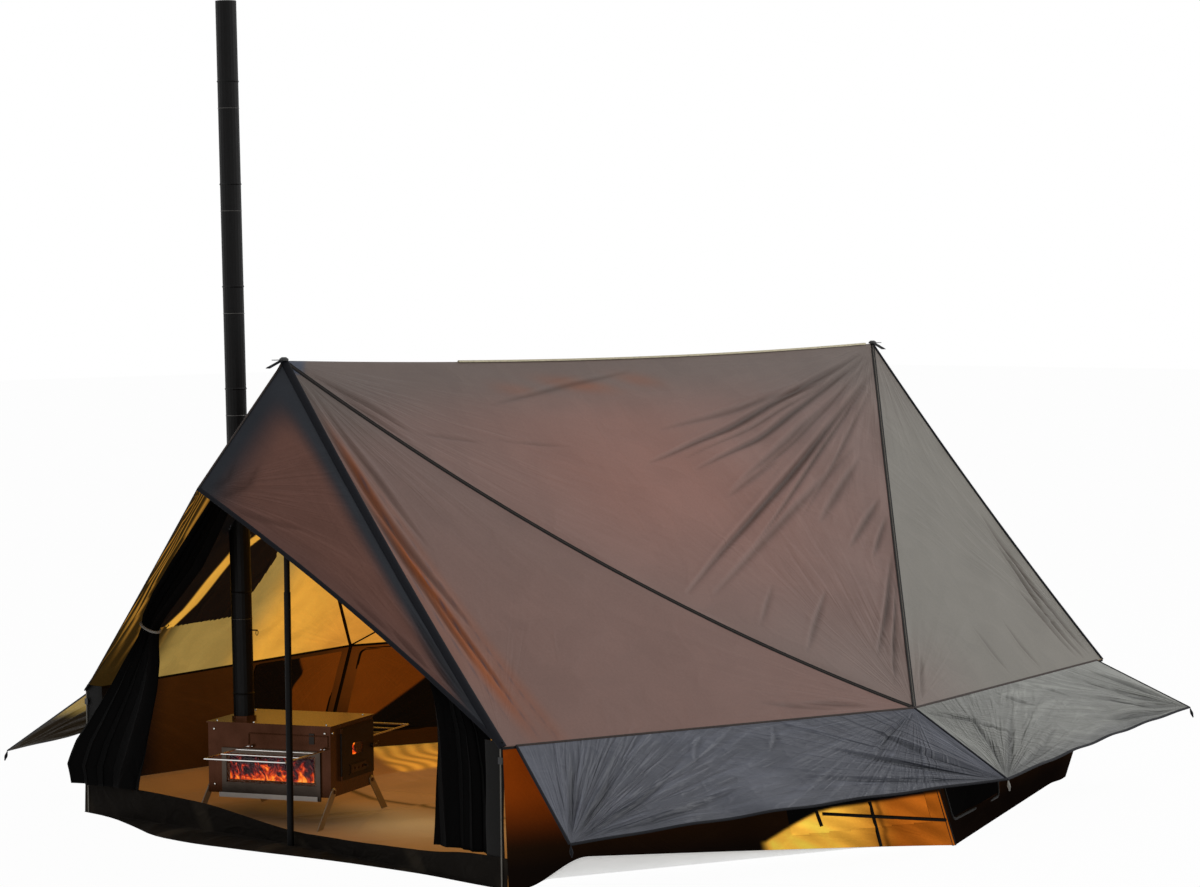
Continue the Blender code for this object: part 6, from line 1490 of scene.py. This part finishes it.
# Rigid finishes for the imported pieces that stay
finishes = {
    "pole_metal": solidMaterial("pole_paint", paint(8, 7, 7), roughness=0.5, variation=0.15,
                                Specular_IOR_Level=0.1),
    "cap_plastic": solidMaterial("cap_plastic_black", paint(16, 16, 17), roughness=0.5, variation=0.1),
    "strap_webbing": solidMaterial("strap_web", paint(118, 114, 106), roughness=0.8,
                                   stretch=(300.0, 300.0, 90.0)),
    # Steel with a faint warm emission: a painted warm glow on the stove's body.
    "stove_steel": solidMaterial("stove_steel_painted_glow", paint(54, 33, 25), roughness=0.26, metallic=1.0,
                                 stretch=(60.0, 60.0, 3.0), variation=0.4, Emission_Strength=0.06,
                                 Emission_Color=(*paint(120, 70, 30), 1)),
    "frame_steel": solidMaterial("frame_steel_satin", paint(70, 61, 54), roughness=0.3, metallic=1.0,
                                 variation=0.25),
    "door_steel": solidMaterial("door_steel_dark", paint(34, 29, 25), roughness=0.45, metallic=0.7,
                                variation=0.2),
    "rack_wire": solidMaterial("rack_wire_bright", paint(215, 213, 210), roughness=0.16, metallic=1.0,
                               variation=0.06),
    "leg_steel": solidMaterial("leg_steel_worn", paint(140, 128, 112), roughness=0.42, metallic=0.4,
                               variation=0.25),
    "grate_iron": solidMaterial("grate_iron_rough", paint(40, 36, 33), roughness=0.75, metallic=0.4,
                                variation=0.3),
    "flue_steel": solidMaterial("flue_steel_smoked", paint(7, 6, 6), roughness=0.5, metallic=0.1,
                                variation=0.3, stretch=(30.0, 30.0, 4.0), Specular_IOR_Level=0.15),
}
brightSteel = solidMaterial("bright_steel", paint(190, 188, 184), roughness=0.22, metallic=1.0,
                            variation=0.05)
darkSteel = solidMaterial("dark_steel", paint(38, 33, 30), roughness=0.4, metallic=0.8, variation=0.2)
barSteel = solidMaterial("bar_steel", paint(196, 192, 186), roughness=0.4, metallic=0.2, variation=0.12)
jointSteel = solidMaterial("joint_steel", paint(84, 82, 80), roughness=0.4, metallic=0.8, variation=0.2)


def glassMaterial():
    material, _, shader = newMaterial("stove_glass_clear")
    setPlain(shader, Base_Color=(1.0, 0.95, 0.9, 1), Roughness=0.02, Transmission_Weight=1.0, IOR=1.14)
    return material


def fireMaterial(name, low, high, strength):
    # Flames: warped noise through a ramp from dark violet over red and orange to yellow, brightest low down.
    material, tree, shader = newMaterial(name)
    spot = place(tree, "TexCoord").outputs["Object"]
    tall = place(tree, "VectorMath", {0: spot, 1: (1.0, 1.0, 0.8)}, operation="MULTIPLY")
    noise = place(tree, "TexNoise", {"Vector": tall.outputs[0], "Scale": 26.0, "Detail": 8.0,
                                     "Roughness": 0.66, "Distortion": 1.1})
    parts = place(tree, "SeparateXYZ", {0: spot})
    fade = place(tree, "MapRange", {0: parts.outputs[2], 1: low, 2: high, 3: 0.16, 4: -0.14})
    heat = place(tree, "Math", {0: noise.outputs[0], 1: fade.outputs[0]}, operation="ADD")
    ramp = place(tree, "ValToRGB", {0: heat.outputs[0]})
    stops = ((0.40, (9, 4, 10)), (0.52, (44, 12, 24)), (0.575, (140, 26, 12)), (0.63, (226, 70, 14)),
             (0.72, (255, 150, 40)), (0.9, (255, 220, 130)))
    ramp.color_ramp.elements[0].position, ramp.color_ramp.elements[1].position = stops[0][0], stops[-1][0]
    for at, colour in stops[1:-1]:
        ramp.color_ramp.elements.new(at)
    for element, (at, colour) in zip(ramp.color_ramp.elements, stops):
        element.color = (*paint(*colour), 1)
    shader.inputs["Base Color"].default_value = (0.01, 0.008, 0.008, 1)
    tree.links.new(ramp.outputs[0], shader.inputs["Emission Color"])
    setPlain(shader, Emission_Strength=strength, Roughness=0.9)
    return material


finishes["stove_glass"] = glassMaterial()
packed = {
    "front_pole_lower": "pole_metal", "front_pole_upper": "pole_metal", "rear_pole_lower": "pole_metal",
    "rear_pole_upper": "pole_metal", "apex_cap_front": "cap_plastic", "apex_cap_rear": "cap_plastic",
    "corner_strap_left": "strap_webbing", "corner_strap_right": "strap_webbing",
    "strap_buckle_left": "cap_plastic", "strap_buckle_right": "cap_plastic", "firebox": "stove_steel",
    "front_glass_frame": "frame_steel", "stove_door": "door_steel", "air_slide": "frame_steel",
    "door_handle": "frame_steel", "fire_grate": "grate_iron", "leg_front_left": "leg_steel",
    "leg_front_right": "leg_steel", "leg_rear_left": "leg_steel", "leg_rear_right": "leg_steel",
    "rack_front": "rack_wire", "rack_rear": "rack_wire", "front_glass": "stove_glass",
    "door_glass": "stove_glass", "damper": "flue_steel",
    **{f"chimney_{k}": "flue_steel" for k in range(1, 8)},
}
for name, finish in packed.items():
    mesh = nodes[name].data
    mesh.materials.clear()
    mesh.materials.append(finishes[finish])
print("packed pieces finished")


# The fire and the stove's small parts
stove = {"place": (-0.5885, -1.3609, 0.0), "turn": math.radians(24), "length": 0.585, "depth": 0.42,
         "low": 0.125, "top": 0.43}


def stovePoints(points):
    # From the stove's own directions (door end along x, back along y) into the tent's.
    c, s = math.cos(stove["turn"]), math.sin(stove["turn"])
    return np.asarray(points, float) @ np.array([[c, s, 0], [-s, c, 0], [0, 0, 1]]) + np.array(stove["place"])


def addBlock(name, points, faces, material, angle=35):
    return addPiece(name, np.asarray(points, float), faces, [material],
                    uv=np.asarray(points, float)[:, :2].copy(), angle=angle)


def addTube(name, line, radius, material, count=12):
    points, faces = tubePoints(line, radius, count)
    return addBlock(name, points, faces, material)


def addFire():
    # Two waving sheets of flame behind the glasses, over four glowing logs.
    front = fireMaterial("fire_front", stove["low"] + 0.05, stove["low"] + 0.19, 1.0)
    door = fireMaterial("fire_door", stove["low"] + 0.10, stove["low"] + 0.40, 1.6)
    logSkin = fireMaterial("log_embers", stove["low"] + 0.02, stove["low"] + 0.12, 0.9)
    for name, first, last, material in (("fire_front_flames", (-0.215, -0.165), (0.235, -0.165), front),
                                        ("fire_door_flames", (0.235, -0.15), (0.235, 0.15), door)):
        u, v, faces = quadGrid(90, 40)
        run = np.array(last) - np.array(first)
        side = np.array([run[1], -run[0]]) / np.linalg.norm(run)
        wave = 0.012 * np.sin(17 * u + 5 * v) * np.sin(9 * v + 3 * u) + 0.006 * np.sin(41 * u + 11 * v)
        flat = np.array(first) + u[:, None] * run + side * wave[:, None]
        z = 0.150 + v * (0.165 + 0.03 * np.sin(13 * u) + 0.02 * np.sin(31 * u + 1))
        points = stovePoints(np.column_stack([flat, z]))
        addPiece(name, points, faces, [material], thickness=0.002, uv=np.stack([u, v], axis=1))
    seeded = np.random.default_rng(4)
    for k in range(4):
        x = np.linspace(-0.17, 0.17, 40) + 0.02 * seeded.normal()
        y = -0.10 + 0.07 * k + 0.012 * np.sin(9 * x + k)
        line = stovePoints(np.stack([x, y, np.full_like(x, 0.178 + 0.012 * (k % 2))], axis=1))
        addTube(f"fire_log_{k + 1}", line, 0.027 + 0.003 * np.sin(60 * x + k) + 0.002 * np.sin(23 * x),
                logSkin, count=20)


addFire()
endFace, frontFace = stove["length"] / 2, -stove["depth"] / 2
screws = {  # places on the stove: along, back, up, then which way each faces
    "top_bolt": [((x, y, stove["top"] + 0.004), 2) for x, y in (
        (-0.262, -0.18), (-0.08, -0.19), (-0.262, 0.18), (0.262, 0.18), (0.262, -0.18))],
    "front_bolt": [((x, frontFace - 0.0035, z), 1) for x, z in (
        (-0.195, 0.128), (0.195, 0.128), (-0.262, 0.16), (-0.262, 0.40), (0.268, 0.40))],
    "end_bolt": [((endFace + 0.0035, y, z), 0) for y, z in (
        (-0.19, 0.16), (-0.19, 0.40), (0.19, 0.40), (0.19, 0.16))],
}


def addScrews():
    # Domed heads: three shrinking rings over each place.
    turn = np.linspace(0, 2 * np.pi, 16, endpoint=False)
    for kind, spots in screws.items():
        for number, (spot, axis) in enumerate(spots):
            rings = []
            for radius, lift in ((0.0062, -0.004), (0.0062, 0.0), (0.0048, 0.0022), (0.002, 0.0034)):
                ring = np.zeros((16, 3))
                ring[:, (axis + 1) % 3] = np.cos(turn) * radius
                ring[:, (axis + 2) % 3] = np.sin(turn) * radius
                ring[:, axis] = -lift if axis == 1 else lift
                rings.append(ring + np.array(spot))
            points = stovePoints(np.vstack(rings))
            faces = [(16 * k + j, 16 * k + (j + 1) % 16, 16 * k + 16 + (j + 1) % 16, 16 * k + 16 + j)
                     for k in range(3) for j in range(16)]
            faces += [tuple(range(16))[::-1], tuple(range(48, 64))]
            if axis == 1:
                faces = [face[::-1] for face in faces]
            addBlock(f"{kind}_{number + 1}", points, faces, brightSteel, angle=50)


addScrews()


def addFlueRings():
    # A thin bright line where each pipe slips over the one below.
    for k in range(1, 7):
        z = stove["top"] + 0.44 * k
        middle = flue["foot"] + flue["lean"] * (z - stove["top"])
        turn = np.linspace(0, 2 * np.pi, 49)
        reach = flue["radius"] + 0.0006
        line = np.stack([middle[0] + np.cos(turn) * reach, middle[1] + np.sin(turn) * reach,
                         np.full_like(turn, z)], axis=1)
        addTube(f"flue_ring_{k}", line, 0.0014, jointSteel, count=8)


addFlueRings()


def addStoveTrim():
    # The bright bar under the front glass and a darker latch plate: middle, half-width, heights and reach.
    for name, middle, width, low, high, reach, material in (
            ("stove_front_bar", 0.0, 0.235, 0.109, 0.129, 0.0158, barSteel),
            ("stove_latch_plate", 0.205, 0.012, 0.352, 0.398, 0.004, darkSteel)):
        x0, x1 = middle - width, middle + width
        y0, y1 = frontFace - reach, frontFace - reach + 0.002
        corners = [(x, y, z) for z in (low, high) for x, y in ((x0, y0), (x1, y0), (x1, y1), (x0, y1))]
        faces = [(3, 2, 1, 0), (4, 5, 6, 7), (0, 1, 5, 4), (1, 2, 6, 5), (2, 3, 7, 6), (3, 0, 4, 7)]
        addBlock(name, stovePoints(corners), faces, material)


addStoveTrim()
print("fire and stove parts made")


# Light, floor and backdrop
studio = {"world": 0.31, "floor": (0.80, 0.80, 0.80), "floorSize": 60.0, "floorGlow": 0.975,
          "lamps": (((6.5, 6.0, 6.5), 3.0, 380.0), ((-5.0, -8.0, 6.0), 5.0, 75.0),
                    ((8.0, -6.0, 3.0), 4.0, 34.0))}


def seenDirectly(tree):
    # 1 where the camera sees a thing itself, in a reflection or through glass.
    path = place(tree, "LightPath")
    seen = place(tree, "Math", {0: path.outputs["Is Camera Ray"], 1: path.outputs["Is Glossy Ray"]},
                 operation="MAXIMUM")
    return place(tree, "Math", {0: seen.outputs[0], 1: path.outputs["Is Transmission Ray"]},
                 operation="MAXIMUM").outputs[0]


def makeStudio(facts):
    world = bpy.data.worlds.new("studio")
    bpy.context.scene.world = world
    world.use_nodes = True
    tree = world.node_tree
    tree.nodes.clear()
    light = place(tree, "Background", {"Color": (1, 1, 1, 1), "Strength": facts["world"]})
    white = place(tree, "Background", {"Color": (1, 1, 1, 1), "Strength": 1.0})
    mix = place(tree, "MixShader", {0: seenDirectly(tree), 1: light.outputs[0], 2: white.outputs[0]})
    place(tree, "OutputWorld", {"Surface": mix.outputs[0]})
    material, tree, shader = newMaterial("studio_floor")
    setPlain(shader, Base_Color=(*facts["floor"], 1), Roughness=0.9)
    share = place(tree, "Math", {0: seenDirectly(tree), 1: facts["floorGlow"]}, operation="MULTIPLY")
    white = place(tree, "Emission", {"Color": (1, 1, 1, 1), "Strength": 1.0})
    mix = place(tree, "MixShader", {0: share.outputs[0], 1: shader.outputs[0], 2: white.outputs[0]})
    tree.links.new(mix.outputs[0], tree.nodes["Material Output"].inputs["Surface"])
    half = facts["floorSize"]
    corners = [(x * half, y * half, -0.001) for x, y in ((-1, -1), (1, -1), (1, 1), (-1, 1))]
    mesh = bpy.data.meshes.new("floor")
    mesh.from_pydata(corners, [], [(0, 1, 2, 3)])
    mesh.materials.append(material)
    floor = bpy.data.objects.new("floor", mesh)
    bpy.context.collection.objects.link(floor)
    for k, (spot, size, power) in enumerate(facts["lamps"]):  # area lamps, all aimed at the tent's middle
        lamp = bpy.data.objects.new(f"lamp_{k}", bpy.data.lights.new(f"lamp_{k}", "AREA"))
        lamp.data.energy, lamp.data.size = power, size
        lamp.location = spot
        lamp.rotation_euler = (Vector((0, 0, 0.8)) - Vector(spot)).to_track_quat("-Z", "Y").to_euler()
        bpy.context.collection.objects.link(lamp)


makeStudio(studio)
bpy.context.scene.view_settings.view_transform = "Standard"
print("studio made")
